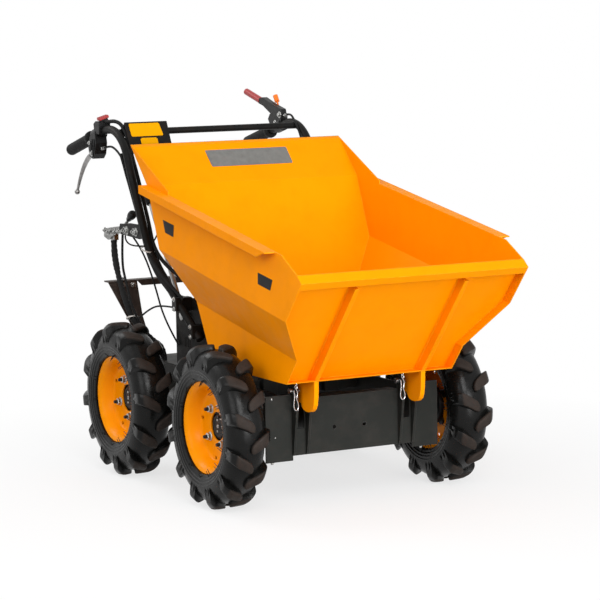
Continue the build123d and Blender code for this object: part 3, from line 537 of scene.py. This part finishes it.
def rim_mesh(phase):
    """Pressed wheel: rolled flange, smooth bowl, flat disc with four holes, and the inner flange."""
    bm = bmesh.new()
    profile = [(36.0, -4.0), (36.0, -0.6), (36.6, 0.0), (70.0, 0.0), (81.0, 0.1), (85.5, 0.9),
               (88.6, 2.9), (90.6, 6.0), (93.2, 13.0), (96.6, 20.0), (100.0, 26.0), (103.6, 31.0),
               (108.6, 35.0), (113.0, 37.0), (115.0, 37.8), (116.0, 37.2), (116.1, 35.8), (115.4, 34.8),
               (112.0, 32.6), (107.6, 27.8), (103.8, 22.2), (99.8, 15.0), (97.0, 8.0), (95.6, 0.0),
               (95.2, -12.0), (97.0, -20.0), (101.0, -27.0), (106.0, -32.0), (112.0, -35.0),
               (115.2, -36.2), (116.0, -37.2), (115.0, -38.0), (111.0, -36.8), (104.0, -33.4),
               (98.5, -28.0), (94.5, -20.6), (92.4, -12.0), (92.4, -2.6), (90.6, 0.6), (86.0, -2.6),
               (80.0, -3.6), (70.0, -4.0)]
    lathe(bm, [(r * MM, a * MM) for r, a in profile], 96, lay_down, closed=True)
    holder = bpy.data.objects.new("blank", to_mesh("blank", bm))
    scene.collection.objects.link(holder)
    cutters = bmesh.new()
    for k in range(4):
        at = on_circle(hole_circle, phase + pi / 4 + k * pi / 2, -0.03)
        lathe(cutters, [(0, 0), (0.0052, 0), (0.0052, 0.06), (0, 0.06)], 24, along(at, (0, 1, 0)))
    drill = bpy.data.objects.new("drill", to_mesh("drill", cutters))
    scene.collection.objects.link(drill)
    cut = holder.modifiers.new("cut", "BOOLEAN")
    cut.operation, cut.object, cut.solver = "DIFFERENCE", drill, "EXACT"
    bpy.context.view_layer.update()
    shaped = holder.evaluated_get(bpy.context.evaluated_depsgraph_get())
    drilled = bpy.data.meshes.new_from_object(shaped)
    bpy.data.objects.remove(holder)
    bpy.data.objects.remove(drill)
    return drilled


def hub_mesh():
    """Hub with its flange behind the disc, and the cap that shows in the wheel's centre hole."""
    bm = bmesh.new()
    profile = [(0.0, -3.2), (9.0, -3.2), (10.0, -4.4), (22.0, -4.4), (24.0, -2.6), (28.0, -2.2),
               (29.4, -3.4), (29.8, -6.6), (33.0, -6.8), (34.0, -8.0), (34.4, -10.0), (50.0, -10.4),
               (52.0, -12.0), (52.0, -20.0), (50.0, -23.6), (36.0, -24.0), (33.5, -28.0), (33.5, -54.0),
               (36.0, -56.0), (44.0, -56.4), (46.0, -58.0), (46.0, -61.0), (44.0, -62.0), (14.2, -62.0),
               (14.2, -8.0), (0.0, -8.0)]
    lathe(bm, [(r * MM, a * MM) for r, a in profile], 64, lay_down)
    # spacers between the flange and the pressed disc
    for k in range(4):
        at = on_circle(nut_circle, radians(37) + k * pi / 2, -0.0110)
        lathe(bm, [(0, 0), (0.0105, 0), (0.0105, 0.0068), (0, 0.0068)], 20, along(at, (0, 1, 0)))
    return bm


def nuts_mesh(phase):
    bm = bmesh.new()
    for k in range(4):
        at = on_circle(nut_circle, phase + k * pi / 2)
        lathe(bm, [(0, 0), (0.0118, 0), (0.0118, 0.0014), (0.0112, 0.0020), (0, 0.0020)], 24,
              along(at, (0, 1, 0)))
        hex_bolt(bm, at + Vector((0, 0.0018, 0)), (0, 1, 0), 0.0165, 0.0090, 0, spin=0.4 * k)
    return bm


def studs_mesh(phase):
    bm = bmesh.new()
    for k in range(4):
        shape = [(0, 0), (0.0050, 0)]
        for turn in range(4):
            shape += [(0.0050, 0.0012 + 0.0016 * turn), (0.0044, 0.0020 + 0.0016 * turn)]
        at = on_circle(nut_circle, phase + k * pi / 2, 0.0100)
        lathe(bm, shape + [(0.0042, 0.0092), (0, 0.0092)], 14, along(at, (0, 1, 0)))
    return bm


def cap_screws_mesh():
    bm = bmesh.new()
    for k in range(3):
        at = on_circle(0.0165, radians(120 * k + 60), -0.0044)
        dome_screw(bm, at, (0, 1, 0), 0.0032, 0.0022)
    hex_bolt(bm, (0, -0.0032, 0), (0, 1, 0), 0.0090, 0.0030, 0)
    return bm


def valve_mesh():
    bm = bmesh.new()
    shape = [(0, -0.004), (0.0050, -0.004), (0.0048, 0.003), (0.0036, 0.006), (0.0036, 0.010),
             (0.0040, 0.0104), (0.0040, 0.0160), (0.0032, 0.0170), (0, 0.0170)]
    lathe(bm, shape, 18, along(mm(-70.0, 17.0, 66.0), (0.28, 0.92, -0.26)))
    return bm


# where the nuts stand, and how far the tread is turned, in degrees
wheel_turns = {"front_right": (37, -11), "front_left": (52, -9), "rear_right": (18, -4),
               "rear_left": (71, 3)}
for corner, (degrees, turned) in wheel_turns.items():
    body = "wheel_" + corner
    low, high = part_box("tyre_" + corner)
    centre = (low + high) / 2
    centre.z = tyre_r
    outward = 1 if centre.y > 0 else -1
    put("lug_tyre_" + corner, tyre_mesh(turned), body, "tyre", place=centre, sharp=50,
        stands_for="tyre_" + corner)
    # outboard pieces are drawn towards +Y and turned round for the right side
    spin = Matrix.Rotation(0 if outward > 0 else pi, 4, "Z")
    phase = radians(degrees if outward > 0 else 180 - degrees)
    made = (("pressed_wheel_", rim_mesh(phase), "orange_paint", "rim_"),
            ("wheel_hub_", hub_mesh(), "black_plastic", "hub_"),
            ("wheel_nuts_", nuts_mesh(phase), "zinc_steel", None),
            ("wheel_studs_", studs_mesh(phase), "black_plastic", None),
            ("cap_screws_", cap_screws_mesh(), "zinc_steel", None),
            ("valve_", valve_mesh(), "zinc_steel", None))
    for start, shape, slot_name, node_start in made:
        shape.transform(spin)
        put(start + corner, shape, body, slot_name, rim_paint if node_start == "rim_" else None,
            place=centre, stands_for=node_start and node_start + corner)


# The skip: welds, blank labels and the two dark side blocks

for end, corners in (
        ("rear", ((-0.0346, 0.7013), (0.0307, 0.6911), (0.0260, 0.6607), (-0.0219, 0.6686))),
        ("front", ((0.4976, 0.6101), (0.5723, 0.5985), (0.5600, 0.5722), (0.4965, 0.5823)))):
    label("side_block_" + end, [(x, -skip_side, z) for x, z in corners], (0, -1, 0), decal_black,
          "skip", "black_plastic", 0.0008)
label("back_wall_plate", [(-0.1994, -0.1104, 0.8644), (-0.1594, -0.1083, 0.8227),
                          (-0.1594, 0.1340, 0.8227), (-0.1994, 0.1340, 0.8644)],
      (1, 0, 1), label_grey, "skip", "zinc_steel", 0.002)


# Small steel on the chassis and hinge, and the skip's welds

tube_foot = mm(-57, 205, 378)
tube_bend = mm(-268, 248, 592)
bolts = bmesh.new()
dome_screw(bolts, (plate_x, -0.2292, 0.281), (1, 0, 0), 0.0034, 0.002)
dome_screw(bolts, (plate_x, -0.2209, 0.184), (1, 0, 0), 0.0018, 0.001)
for y in (-0.2298, 0.1985):
    hex_bolt(bolts, (plate_x - 0.0025, y, 0.122), (0, 0, -1), 0.006, 0.004, 0.001)
for side in (-1, 1):
    # clamps that hold the tubes, at a share of the way from a tube's foot to its bend
    for clamp_x in (-0.077, -0.144):
        share = (clamp_x - tube_foot.x) / (tube_bend.x - tube_foot.x)
        at = tube_foot.lerp(tube_bend, share)
        for dz in (-0.014, 0.012):
            hex_bolt(bolts, (at.x, side * (at.y + 0.015), at.z + dz), (0, side, 0), 0.007, 0.0035, 0.001)
    # feet of the upright plates
    for x in (-0.215, -0.137, -0.060):
        hex_bolt(bolts, (x, side * 0.171, 0.290), (0, 0, 1), 0.010, 0.0055)
    # axle saddles on the side members
    for axle in (-axle_x, axle_x):
        for a in (45, 135, 225, 315):
            at = on_circle(0.044, radians(a), side * 0.180) + Vector((axle, 0, tyre_r))
            hex_bolt(bolts, at, (0, side, 0), 0.010, 0.005)
    # legs of the rear portal
    for z in (0.170, 0.225):
        hex_bolt(bolts, (-0.474, side * 0.165, z), (-1, 0, 0), 0.012, 0.007)
    hex_bolt(bolts, (-0.485, side * 0.232, 0.500), (0, 0, 1), 0.010, 0.006)
for y in (-0.240, -0.207, 0.207, 0.240):
    hex_bolt(bolts, (-0.470, y, 0.487), (1, 0, 0), 0.009, 0.005, 0.0012)
put("chassis_bolts", bolts, "chassis", "zinc_steel")


clip_x = 421.5
clip_shape = [(-6, 303), (-5.2, 297), (-4.5, 286), (-6, 275), (-7.5, 264), (-5, 255), (0, 252), (5, 255),
              (6.5, 264), (4, 274), (0.5, 282), (3.6, 290), (4.6, 297), (1, 304), (-0.5, 309)]
link_low = [(0, 306), (3.4, 309), (2.6, 316), (-2.6, 316), (-3.4, 309), (0, 306)]
link_high = [(0, 313), (3.2, 316), (2.4, 322), (-2.4, 322), (-3.2, 316), (0, 313)]


def clip_on_chain(y):
    """R-clip with its round loop at the bottom, and the two links that it hangs from."""
    bm = bmesh.new()
    for points, r in ((clip_shape, 1.7), (link_low, 1.2)):
        line = route_of([(clip_x, y + a, z) for a, z in points], 0.0018, 10)
        tube(bm, line, lambda k, f, r=r: r * MM, 10, side=Vector((1, 0, 0)))
    line = route_of([(clip_x + a, y + 0.4, z) for a, z in link_high], 0.0018, 10)
    tube(bm, line, lambda k, f: 1.2 * MM, 10)
    return bm


for hand, y in (("right", -176.5), ("left", 128.5)):
    put("hair_clip_" + hand, clip_on_chain(y), "chassis", "zinc_steel", mats["chrome"], sharp=60)

welds = bmesh.new()
for side in (-1, 1):
    for edge in (-1, 1):
        y = side * rib_y + edge * rib_half
        # rib to front panel, and lug to floor
        bead(welds, (0.4555, y, 0.334), (0.6630, y, 0.5775))
        bead(welds, (0.366, y, 0.3295), (0.478, y, 0.3295))
    # rail to side
    y = side * (skip_side + 0.0008)
    bead(welds, (-0.116, y, 0.7832), (0.584, y, 0.6642), 0.0018)
put("skip_welds", welds, "skip", "orange_paint")


# Handles: grips, brake and clutch controls, labels and ties

grip_start, grip_end = [Vector((x, 0, bar_z(x))) for x in (-0.560, -0.715)]
length = (grip_end - grip_start).length
shape = [(0.0112, 0.0), (0.0175, 0.0), (0.0196, 0.0012), (0.0204, 0.0035), (0.0204, 0.0105),
         (0.0196, 0.0128), (0.0176, 0.0144), (0.0164, 0.0170)]
ribs = 22
step = (length - 0.017 - 0.012) / ribs
for k in range(ribs):
    a = 0.0175 + step * k
    shape += [(0.0158, a), (0.0164, a + step * 0.22), (0.0165, a + step * 0.72),
              (0.0158, a + step * 0.97)]
shape += [(0.0162, length - 0.010), (0.0164, length - 0.006), (0.0154, length - 0.0022),
          (0.0130, length - 0.0004), (0.0, length)]
for hand, y in (("right", -bar_y), ("left", bar_y)):
    grip = bmesh.new()
    lathe(grip, shape, 36, along(grip_start + Vector((0, y, 0)), (-1, 0, -bar_fall)))
    put("rubber_grip_" + hand, grip, "chassis", "black_rubber", stands_for="grip_" + hand)

# blade of the brake lever, flatter than the rod that stands for it
perch_x = -0.516
perch_z = bar_z(perch_x)
lever_line = route_of([(perch_x / MM + dx, -bar_y / MM - 4, perch_z / MM + dz) for dx, dz in
                       ((-24.9, -52.6), (-42, -57.5), (-68, -68), (-98, -91), (-124, -121),
                        (-142, -148), (-153, -167))], 0.004)
lever = bmesh.new()
tube(lever, lever_line, lambda k, f: 0.0070 - 0.0042 * f, 16, squeeze=1.3)
ball_r = 0.0078
ball = [(ball_r * cos(t), ball_r * sin(t)) for t in (-1.2, -0.8, -0.4, 0, 0.4, 0.8, 1.2)]
lathe(lever, [(0, -ball_r)] + ball + [(0, ball_r)], 24, along(lever_line[-1], (-0.45, 0, -0.89)))
put("brake_blade", lever, "chassis", "chrome", lever_alloy, stands_for="brake_lever")

# stop switch: a tilted rocker on a small black saddle
tilt = Matrix.Rotation(radians(17), 4, "X")
switch_at = mm(-486.5, -276.5, 943.5)


def switch_block(half, low, high, deep, bulge):
    """A bevelled block whose top may dip between two raised ends."""
    bm = bmesh.new()
    middle = (low + high) / 2
    outline = [(-half, low), (half, low), (half + bulge * 0.3, middle), (half - 1, high),
               (half * 0.4, high - bulge), (-half * 0.4, high - bulge), (-half + 1, high),
               (-half - bulge * 0.3, middle)]
    sides = []
    for x in (-deep, deep):
        sides.append([bm.verts.new(switch_at + tilt @ mm(x, y, z)) for y, z in outline])
    bm.faces.new(sides[0])
    bm.faces.new(sides[1][::-1])
    for k in range(len(outline)):
        j = (k + 1) % len(outline)
        bm.faces.new((sides[0][k], sides[1][k], sides[1][j], sides[0][j]))
    bmesh.ops.bevel(bm, geom=list(bm.edges), offset=0.0009, segments=2, affect="EDGES")
    return bm


put("switch_rocker", switch_block(14.5, 2.0, 11.0, 9.0, 1.6), "chassis", "red_plastic",
    stands_for="stop_switch")
put("switch_saddle", switch_block(11.0, -7.0, 2.4, 8.0, 0.0), "chassis", "black_plastic")

# ribs on the housing of the brake perch
ribs = bmesh.new()
for x, top, foot in ((-0.527, 0.884, 0.846), (-0.516, 0.890, 0.842), (-0.505, 0.892, 0.846)):
    line = [Vector((x, -bar_y - 0.0202, top)), Vector((x + 0.001, -bar_y - 0.0212, top - 0.006)),
            Vector((x + 0.004, -bar_y - 0.0212, foot + 0.006)), Vector((x + 0.005, -bar_y - 0.0202, foot))]
    tube(ribs, line, lambda k, f: 0.0017, 8)
put("perch_ribs", ribs, "chassis", "black_plastic")


def adjuster(bm, foot, rise):
    """The threaded end that a cable's sheath rests in."""
    shape = [(0, -0.002), (0.0052, -0.002), (0.0052, 0.007), (0.0038, 0.008), (0.0038, 0.020),
             (0, 0.020)]
    lathe(bm, shape, 12, along(foot, (1, 0, rise)))


steel = bmesh.new()
# perch bolts and cable adjuster of the right hand
hex_bolt(steel, (perch_x - 0.006, -bar_y - 0.020, perch_z - 0.052), (0, -1, 0), 0.009, 0.004)
hex_bolt(steel, (perch_x - 0.022, -bar_y - 0.0196, perch_z - 0.024), (0, -1, 0), 0.006, 0.003)
for x in (perch_x - 0.004, perch_x + 0.008):
    hex_bolt(steel, (x, -bar_y - 0.006, bar_z(x) + 0.0182), (0.25, 0, 0.97), 0.006, 0.004)
adjuster(steel, (perch_x + 0.019, -bar_y, 0.864), 0.21)
# left hand
clutch_x = -0.503
clutch_z = bar_z(clutch_x)
hex_bolt(steel, (clutch_x + 0.016, bar_y - 0.011, clutch_z + 0.032), (0, -1, 0), 0.010, 0.005)
hex_bolt(steel, (clutch_x - 0.012, bar_y - 0.011, clutch_z + 0.010), (0, -1, 0), 0.007, 0.003)
adjuster(steel, (clutch_x + 0.022, bar_y, clutch_z + 0.029), 0.20)
put("handle_steel", steel, "chassis", "zinc_steel")

# the crossbar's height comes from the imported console: its face starts 28 mm above the bar
cross_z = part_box("console_plate")[1].z - 0.028


def console_point(y, down):
    """A point on the console's sloping face, that far below its top edge, in metres."""
    top = Vector((cross_x + 0.0277, y, cross_z + 0.0266))
    foot = Vector((cross_x + 0.067, y, cross_z - 0.054))
    return top.lerp(foot, down / (foot - top).length)


for end, corners, corner_r in (
        ("upper", ((-0.256, 0.003), (-0.254, 0.041), (-0.160, 0.041), (-0.166, 0.003)), 0.002),
        ("lower", ((-0.230, 0.046), (-0.230, 0.070), (-0.180, 0.070), (-0.180, 0.046)), 0.003)):
    label("console_plate_" + end, [console_point(y, down) for y, down in corners], (1, 0, 0.5),
          label_yellow, "chassis", "orange_plastic", corner_r)


# Cables: the route's points are those of part.py

shift_strand = [(-436, -249.9, 644), (-451, -250, 554), (-424, -250, 501), (-385, -248, 420),
                (-366, -205, 345), (-359, -165, 318), (-359, -165, 285.3)]
shift_cable = [(-404.8, -254, 646), (-380, -252, 640), (-318, -240, 583), (-300, -220, 502),
               (-284, -202, 406), (-214, -193.6, 345)]
drive_cable = [(-366, -240, 406), (-314, -230, 438), (-250, -222, 452), (-157.2, -217, 451.5)]
brake_cable = [(-494.6, -279, 864), (-462, -279, 871), (-421, -279, 873), (-372, -279, 852),
               (-347, -279, 830)]
right_loom = [(-350, -279, 832.5), (-330, -276, 812), (-313, -268, 770), (-288, -234, 590),
              (-163, -212, 462)]
clutch_cable = [(-479.5, 279, 937), (-450, 279, 943), (-405, 268, 935), (-345, 262, 880),
                (-323, 264, 812)]
left_loom = [(-325, 264, 818), (-313, 268, 770), (-288, 234, 590), (-163, 212, 462)]
sleeve_path = [(-505, -247, 610.2), (-503, -248, 582), (-484, -252, 545), (-450, -256, 495),
               (-424, -252, 450), (-400, -246, 400), (-384, -200, 345), (-380, -162, 318),
               (-380, -162, 285.3)]


# strands that only show in the photograph: from the switch and beside the tube down to the engine
switch_strand = [(-462, -277, 938), (-436, -272, 942), (-410, -267, 939), (-391, -264, 930),
                 (-373, -262, 911), (-349, -263, 877), (-331, -261, 840), (-315, -256, 797),
                 (-303, -252, 755), (-292, -247, 715), (-281, -241, 667), (-268, -238, 619),
                 (-251, -232, 590), (-230, -225, 570), (-204, -217, 552), (-176, -203, 534),
                 (-147, -190, 516), (-118, -180, 496)]
outer_strand = [(-357, -285, 856), (-343, -282, 824), (-331, -279, 792), (-316, -272, 744),
                (-302, -265, 696), (-290, -259, 645), (-276, -254, 606), (-256, -251, 572),
                (-221, -247, 533), (-181, -236, 500), (-130, -224, 457)]
loop_strand = [(-425, -248, 628), (-422, -250, 619), (-397, -252, 608), (-353, -256, 606),
               (-320, -240, 606), (-290, -232, 612), (-274, -229, 627), (-266, -222, 646),
               (-262, -212, 668)]
middle_strand = [(-272, -256, 606), (-262, -255, 594), (-238, -252, 571), (-205, -244, 541),
                 (-165, -232, 508), (-125, -219, 478)]


# a direction that no cable runs along, to set the rings of its tube by
loom_side = Vector((0.2, 0.95, 0.1))
cables = bmesh.new()
for points, r in ((shift_strand, 3.4), (shift_cable, 2.5), (drive_cable, 2.5), (brake_cable, 3.0),
                  (clutch_cable, 3.0)):
    tube(cables, route_of(points, 0.006), lambda k, f, r=r: r * MM, 12, side=loom_side)
for points, r in ((switch_strand, 5.2), (outer_strand, 4.6), (middle_strand, 4.6),
                  (loop_strand, 2.2)):
    line = route_of(points, 0.005)
    tube(cables, line, lambda k, f, r=r: (r + 0.5 * noise.noise(line[k] * 25)) * MM, 14, side=loom_side)
for points in (right_loom, left_loom):
    # ribbed conduit
    tube(cables, route_of(points, 0.0016), lambda k, f: (5.6 if k % 2 else 4.7) * MM, 14, side=loom_side)
put("cables_and_conduit", cables, "chassis", "black_rubber", sharp=60, stands_for="control_cables")

sleeve = bmesh.new()
line = route_of(sleeve_path, 0.004)
tube(sleeve, line, lambda k, f: (8.2 + 1.5 * noise.noise(line[k] * 38) + 0.5 * sin(k * 1.9)) * MM, 20,
     side=loom_side)
put("braided_sleeve", sleeve, "chassis", "black_rubber", braid, sharp=70, stands_for="cable_sleeve")


def tie(name, centre, direction, r_wide, r_deep):
    """A cable tie: a thin oval band with its locking head."""
    bm = bmesh.new()
    place = along(centre, direction)
    for k in range(28):
        t0, t1 = 2 * pi * k / 28, 2 * pi * (k + 1) / 28
        quads = []
        for t in (t0, t1):
            ring = []
            for dr, dz in ((0, -0.0019), (0.0011, -0.0019), (0.0011, 0.0019), (0, 0.0019)):
                ring.append(place @ Vector(((r_wide + dr) * cos(t), (r_deep + dr) * sin(t), dz)))
            quads.append(ring)
        for j in range(4):
            i = (j + 1) % 4
            corners = (quads[0][j], quads[0][i], quads[1][i], quads[1][j])
            bm.faces.new([bm.verts.new(p) for p in corners])
    bmesh.ops.remove_doubles(bm, verts=bm.verts, dist=1e-6)
    bmesh.ops.create_cube(bm, size=0.0055, matrix=place @ Matrix.Translation((r_wide + 0.002, 0, 0)))
    put(name, bm, "chassis", "black_plastic", tie_nylon)


tie("tie_upper", (-0.270, -0.2500, 0.602), (0.35, 0.12, 0.93), 0.0205, 0.0180)
tie("tie_sleeve", (-0.4005, -0.2465, 0.405), (0.4, 0.05, -0.9), 0.0150, 0.0125)
tie("tie_left", (-0.2795, 0.2475, 0.634), (0.16, -0.15, 0.97), 0.0215, 0.016)


# The engine's small parts: plug and its lead, starter handle, cap, screws and nuts

rubber = bmesh.new()
plug = mm(-297, 23, 478)
plug_way = (-0.92, 0, 0.39)
lathe(rubber, [(0, 0.008), (0.0095, 0.008), (0.0100, 0.012), (0.0088, 0.016), (0.0082, 0.030),
               (0.0092, 0.034), (0.0078, 0.040), (0, 0.041)], 20, along(plug, plug_way))
lead = [(-332, 23, 492), (-338, 20, 490), (-336, 0, 470), (-322, -30, 450), (-306, -56, 440),
        (-290, -72, 430)]
tube(rubber, route_of(lead, 0.004), lambda k, f: 0.0034, 12)
# starter handle with its rope bush
handle_at = mm(-268, -104, 428)
lathe(rubber, [(0, -0.002), (0.0095, -0.002), (0.0085, 0.004), (0.0045, 0.0065), (0.0045, 0.012),
               (0, 0.012)], 20, along(handle_at, (0, -1, 0)))
bar = [handle_at + mm(x, -15.5 + 0.004 * x * x, 0.5 * x) for x in (-19, -15, -8, 0, 8, 15, 19)]
tube(rubber, bar, lambda k, f: (0.0040, 0.0058, 0.0062, 0.0064, 0.0062, 0.0058, 0.0040)[k], 16)
# oil filler plug, low on the crankcase
oil_plug = mm(-296, 96, 322)
for k in range(12):
    at = oil_plug + on_circle(0.0105, 2 * pi * k / 12)
    lathe(rubber, [(0, 0), (0.0026, 0), (0.0024, 0.010), (0, 0.010)], 8, along(at, (0, 1, 0)))
lathe(rubber, [(0, -0.001), (0.0110, -0.001), (0.0110, 0.010), (0.0095, 0.0115), (0, 0.0115)], 24,
      along(oil_plug, (0, 1, 0)))
# grip ribs round the fuel cap
cap_at, cap_r = mm(-222, 20, 600.5), 30.8
for k in range(24):
    a = 2 * pi * k / 24
    foot = cap_at + mm(cap_r * cos(a), cap_r * sin(a), 0)
    tube(rubber, [foot, foot + mm(0, 0, 2), foot + mm(0, 0, 8.5), foot + mm(0, 0, 10)],
         lambda k, f: (0.0009, 0.0016, 0.0016, 0.0009)[k], 6)
put("engine_rubber", rubber, "chassis", "black_plastic", sharp=50)

engine_steel = bmesh.new()
hex_bolt(engine_steel, plug + mm(-1, 0, 0.5), plug_way, 0.017, 0.008, 0.001)
starter_at = mm(-225, -100.5, 372)
for k in range(4):
    at = starter_at + on_circle(0.068, radians(45 + 90 * k))
    dome_screw(engine_steel, at, (0, -1, 0), 0.0042, 0.0026)
for x in (-309, -193):
    for z in (450, 496):
        dome_screw(engine_steel, mm(x, 163.6, z), (0, 1, 0), 0.0034, 0.0022)
for y in (-38, 82):
    for x in (-324, -126):
        hex_bolt(engine_steel, mm(x, y, 298), (0, 0, 1), 0.010, 0.006, 0.0015)
# wing nut on the air filter
hex_bolt(engine_steel, mm(-92, 30, 478), (1, 0, 0), 0.009, 0.006, 0.0015)
for side in (-1, 1):
    wing = [mm(-87, 30 + side * a, 478 + b) for a, b in ((3, 0), (7, 1.5), (11, 4.0), (13, 6.0))]
    tube(engine_steel, wing, lambda k, f: (0.0026, 0.0022, 0.0026, 0.0012)[k], 10)
# nuts where the exhaust joins the head
for x in (-264, -236):
    hex_bolt(engine_steel, mm(x, 80, 470), (0, 1, 0), 0.009, 0.006, 0.001)
put("engine_screws", engine_steel, "chassis", "zinc_steel")


# Gear shift: knob, pins and nuts on the plated linkage

low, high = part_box("shift_knob")
knob_foot = Vector((low.x + 0.0045, (low.y + high.y) / 2, low.z + 0.0075))
knob = bmesh.new()
lathe(knob, [(0, -0.003), (0.0062, -0.003), (0.0074, 0.000), (0.0078, 0.006), (0.0094, 0.011),
             (0.0113, 0.018), (0.0121, 0.025), (0.0117, 0.031), (0.0096, 0.0352), (0.0052, 0.0374),
             (0, 0.0380)], 28, along(knob_foot, (0.866, 0, 0.5)))
put("gear_knob", knob, "chassis", "black_plastic", stands_for="shift_knob")

# moulded grip of the skip release lever
low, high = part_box("release_grip")
grip_at = (-0.366, (low.y + high.y) / 2, 0.726)
handle = bmesh.new()
shape = [(0.0068, -0.012), (0.0105, -0.012), (0.0122, -0.009)]
for k in range(7):
    a = -0.006 + 0.0055 * k
    shape += [(0.0116, a), (0.0126, a + 0.0015), (0.0126, a + 0.0038), (0.0116, a + 0.0052)]
shape += [(0.0118, 0.034), (0.0096, 0.038), (0.0050, 0.0402), (0, 0.0406)]
lathe(handle, shape, 30, along(grip_at, (-0.562, 0, 0.827)))
put("release_hand_grip", handle, "chassis", "black_rubber", stands_for="release_grip")

low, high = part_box("shift_linkage")
shift_steel = bmesh.new()
face_y = low.y - 0.0002
for fx, fz in ((0.08, 0.62), (0.22, 0.50), (0.36, 0.66), (0.52, 0.58), (0.70, 0.74), (0.86, 0.78)):
    at = (low.x + (high.x - low.x) * fx, face_y, low.z + 0.012 + (high.z - low.z - 0.02) * fz * 0.5)
    hex_bolt(shift_steel, at, (0, -1, 0), 0.009, 0.0045, 0.0012, 0.0025, spin=fx * 7)
# nuts in the bracket's two slots
low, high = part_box("shift_bracket")
for x in (high.x - 0.048, high.x - 0.108):
    for dx, across in ((-0.008, 0.0105), (0.008, 0.0125)):
        at = (x + dx, low.y + 0.0005, low.z + 0.0175)
        hex_bolt(shift_steel, at, (0, -1, 0), across, 0.005, 0.0014, 0.003, spin=dx * 90)
put("shift_nuts", shift_steel, "chassis", "zinc_steel", plated)


# Stage, lights and camera

def area(name, place, target, size, power):
    lamp = bpy.data.lights.new(name, "AREA")
    lamp.shape, lamp.size, lamp.energy = "SQUARE", size, power
    holder = bpy.data.objects.new(name, lamp)
    holder.location = place
    holder.rotation_euler = (Vector(target) - Vector(place)).to_track_quat("-Z", "Y").to_euler()
    scene.collection.objects.link(holder)


area("key", (4.6, -1.6, 3.2), (0.2, 0, 0.4), 2.2, 142)
area("front", (5.4, 0.4, 0.9), (0.3, 0, 0.4), 2.0, 180)
area("fill", (1.8, -4.6, 2.2), (0.2, 0, 0.4), 2.6, 60)
area("back", (-3.2, -2.4, 3.6), (0, 0, 0.5), 2.2, 60)


def seen_as_background(tree):
    """One where a camera, glossy or transmission ray meets the surface, and nought elsewhere."""
    rays = tree.nodes.new("ShaderNodeLightPath")
    found = rays.outputs["Is Camera Ray"]
    for key in ("Is Glossy Ray", "Is Transmission Ray"):
        found = maths(tree, "MAXIMUM", found, rays.outputs[key])
    return found


def blend_shaders(tree, share, low, high, output):
    """Leads a share of one shader and the rest of another to an output's surface."""
    blend = tree.nodes.new("ShaderNodeMixShader")
    for k, socket in enumerate((share, low.outputs[0], high.outputs[0])):
        tree.links.new(socket, blend.inputs[k])
    tree.links.new(blend.outputs[0], tree.nodes[output].inputs["Surface"])


world = bpy.data.worlds.new("studio")
scene.world = world
world.use_nodes = True
tree = world.node_tree
soft = tree.nodes["Background"]
soft.inputs["Color"].default_value = (1, 1, 1, 1)
soft.inputs["Strength"].default_value = 0.48
white = node(tree, "ShaderNodeBackground", Color=(1, 1, 1, 1), Strength=1.0)
blend_shaders(tree, seen_as_background(tree), soft, white, "World Output")

# the floor fades into the background with distance from the machine
paper = bpy.data.materials.new("paper")
paper.use_nodes = True
tree = paper.node_tree
sheet = tree.nodes["Principled BSDF"]
sheet.inputs["Roughness"].default_value = 0.9
sheet.inputs["Specular IOR Level"].default_value = 0.1
place = tree.nodes.new("ShaderNodeTexCoord").outputs["Object"]
reach = maths(tree, "LENGTH", place, kind="VectorMath")
fade_from, fade_to = 0.55, 1.6
fade = spread(tree, reach, fade_from, fade_to, 0.72, 1.0)
seen = seen_as_background(tree)
tree.links.new(mixed(tree, seen, (0.42, 0.42, 0.42), (0.90, 0.90, 0.90)), sheet.inputs["Base Color"])
glow = node(tree, "ShaderNodeEmission", Color=(1, 1, 1, 1), Strength=1.0)
blend_shaders(tree, maths(tree, "MULTIPLY", fade, seen), sheet, glow, "Material Output")
bm = bmesh.new()
bmesh.ops.create_grid(bm, x_segments=8, y_segments=8, size=9.0)
floor_mesh = bpy.data.meshes.new("floor")
bm.to_mesh(floor_mesh)
bm.free()
floor_mesh.materials.append(paper)
floor = bpy.data.objects.new("floor", floor_mesh)
floor.location = (0.1, 0, -0.0006)
scene.collection.objects.link(floor)

# the photograph's camera, fitted to points in its picture of 600 by 600
picture = 600
focal = 2410.7
centre_x, centre_y = 321.2, 318.0
eye = Vector((5.6045, -2.9237, 1.2203))
ahead = Vector((-0.8714, 0.4743, -0.1250)).normalized()
right = Vector((ahead.y, -ahead.x, 0)).normalized()
down = ahead.cross(right).normalized()
roll = 0.0165
right_rolled = right * cos(roll) + down * sin(roll)
down_rolled = down * cos(roll) - right * sin(roll)
camera_data = bpy.data.cameras.new("photo_camera")
camera_data.sensor_width = 36.0
camera_data.lens = focal / picture * camera_data.sensor_width
camera_data.shift_x = (picture / 2 - centre_x) / picture
camera_data.shift_y = (centre_y - picture / 2) / picture
camera_data.clip_end = 100
camera = bpy.data.objects.new("photo_camera", camera_data)
turn = Matrix((right_rolled, -down_rolled, -ahead)).transposed()
camera.matrix_world = Matrix.Translation(eye) @ turn.to_4x4()
scene.collection.objects.link(camera)
scene.camera = camera

scene.view_settings.view_transform = "Standard"
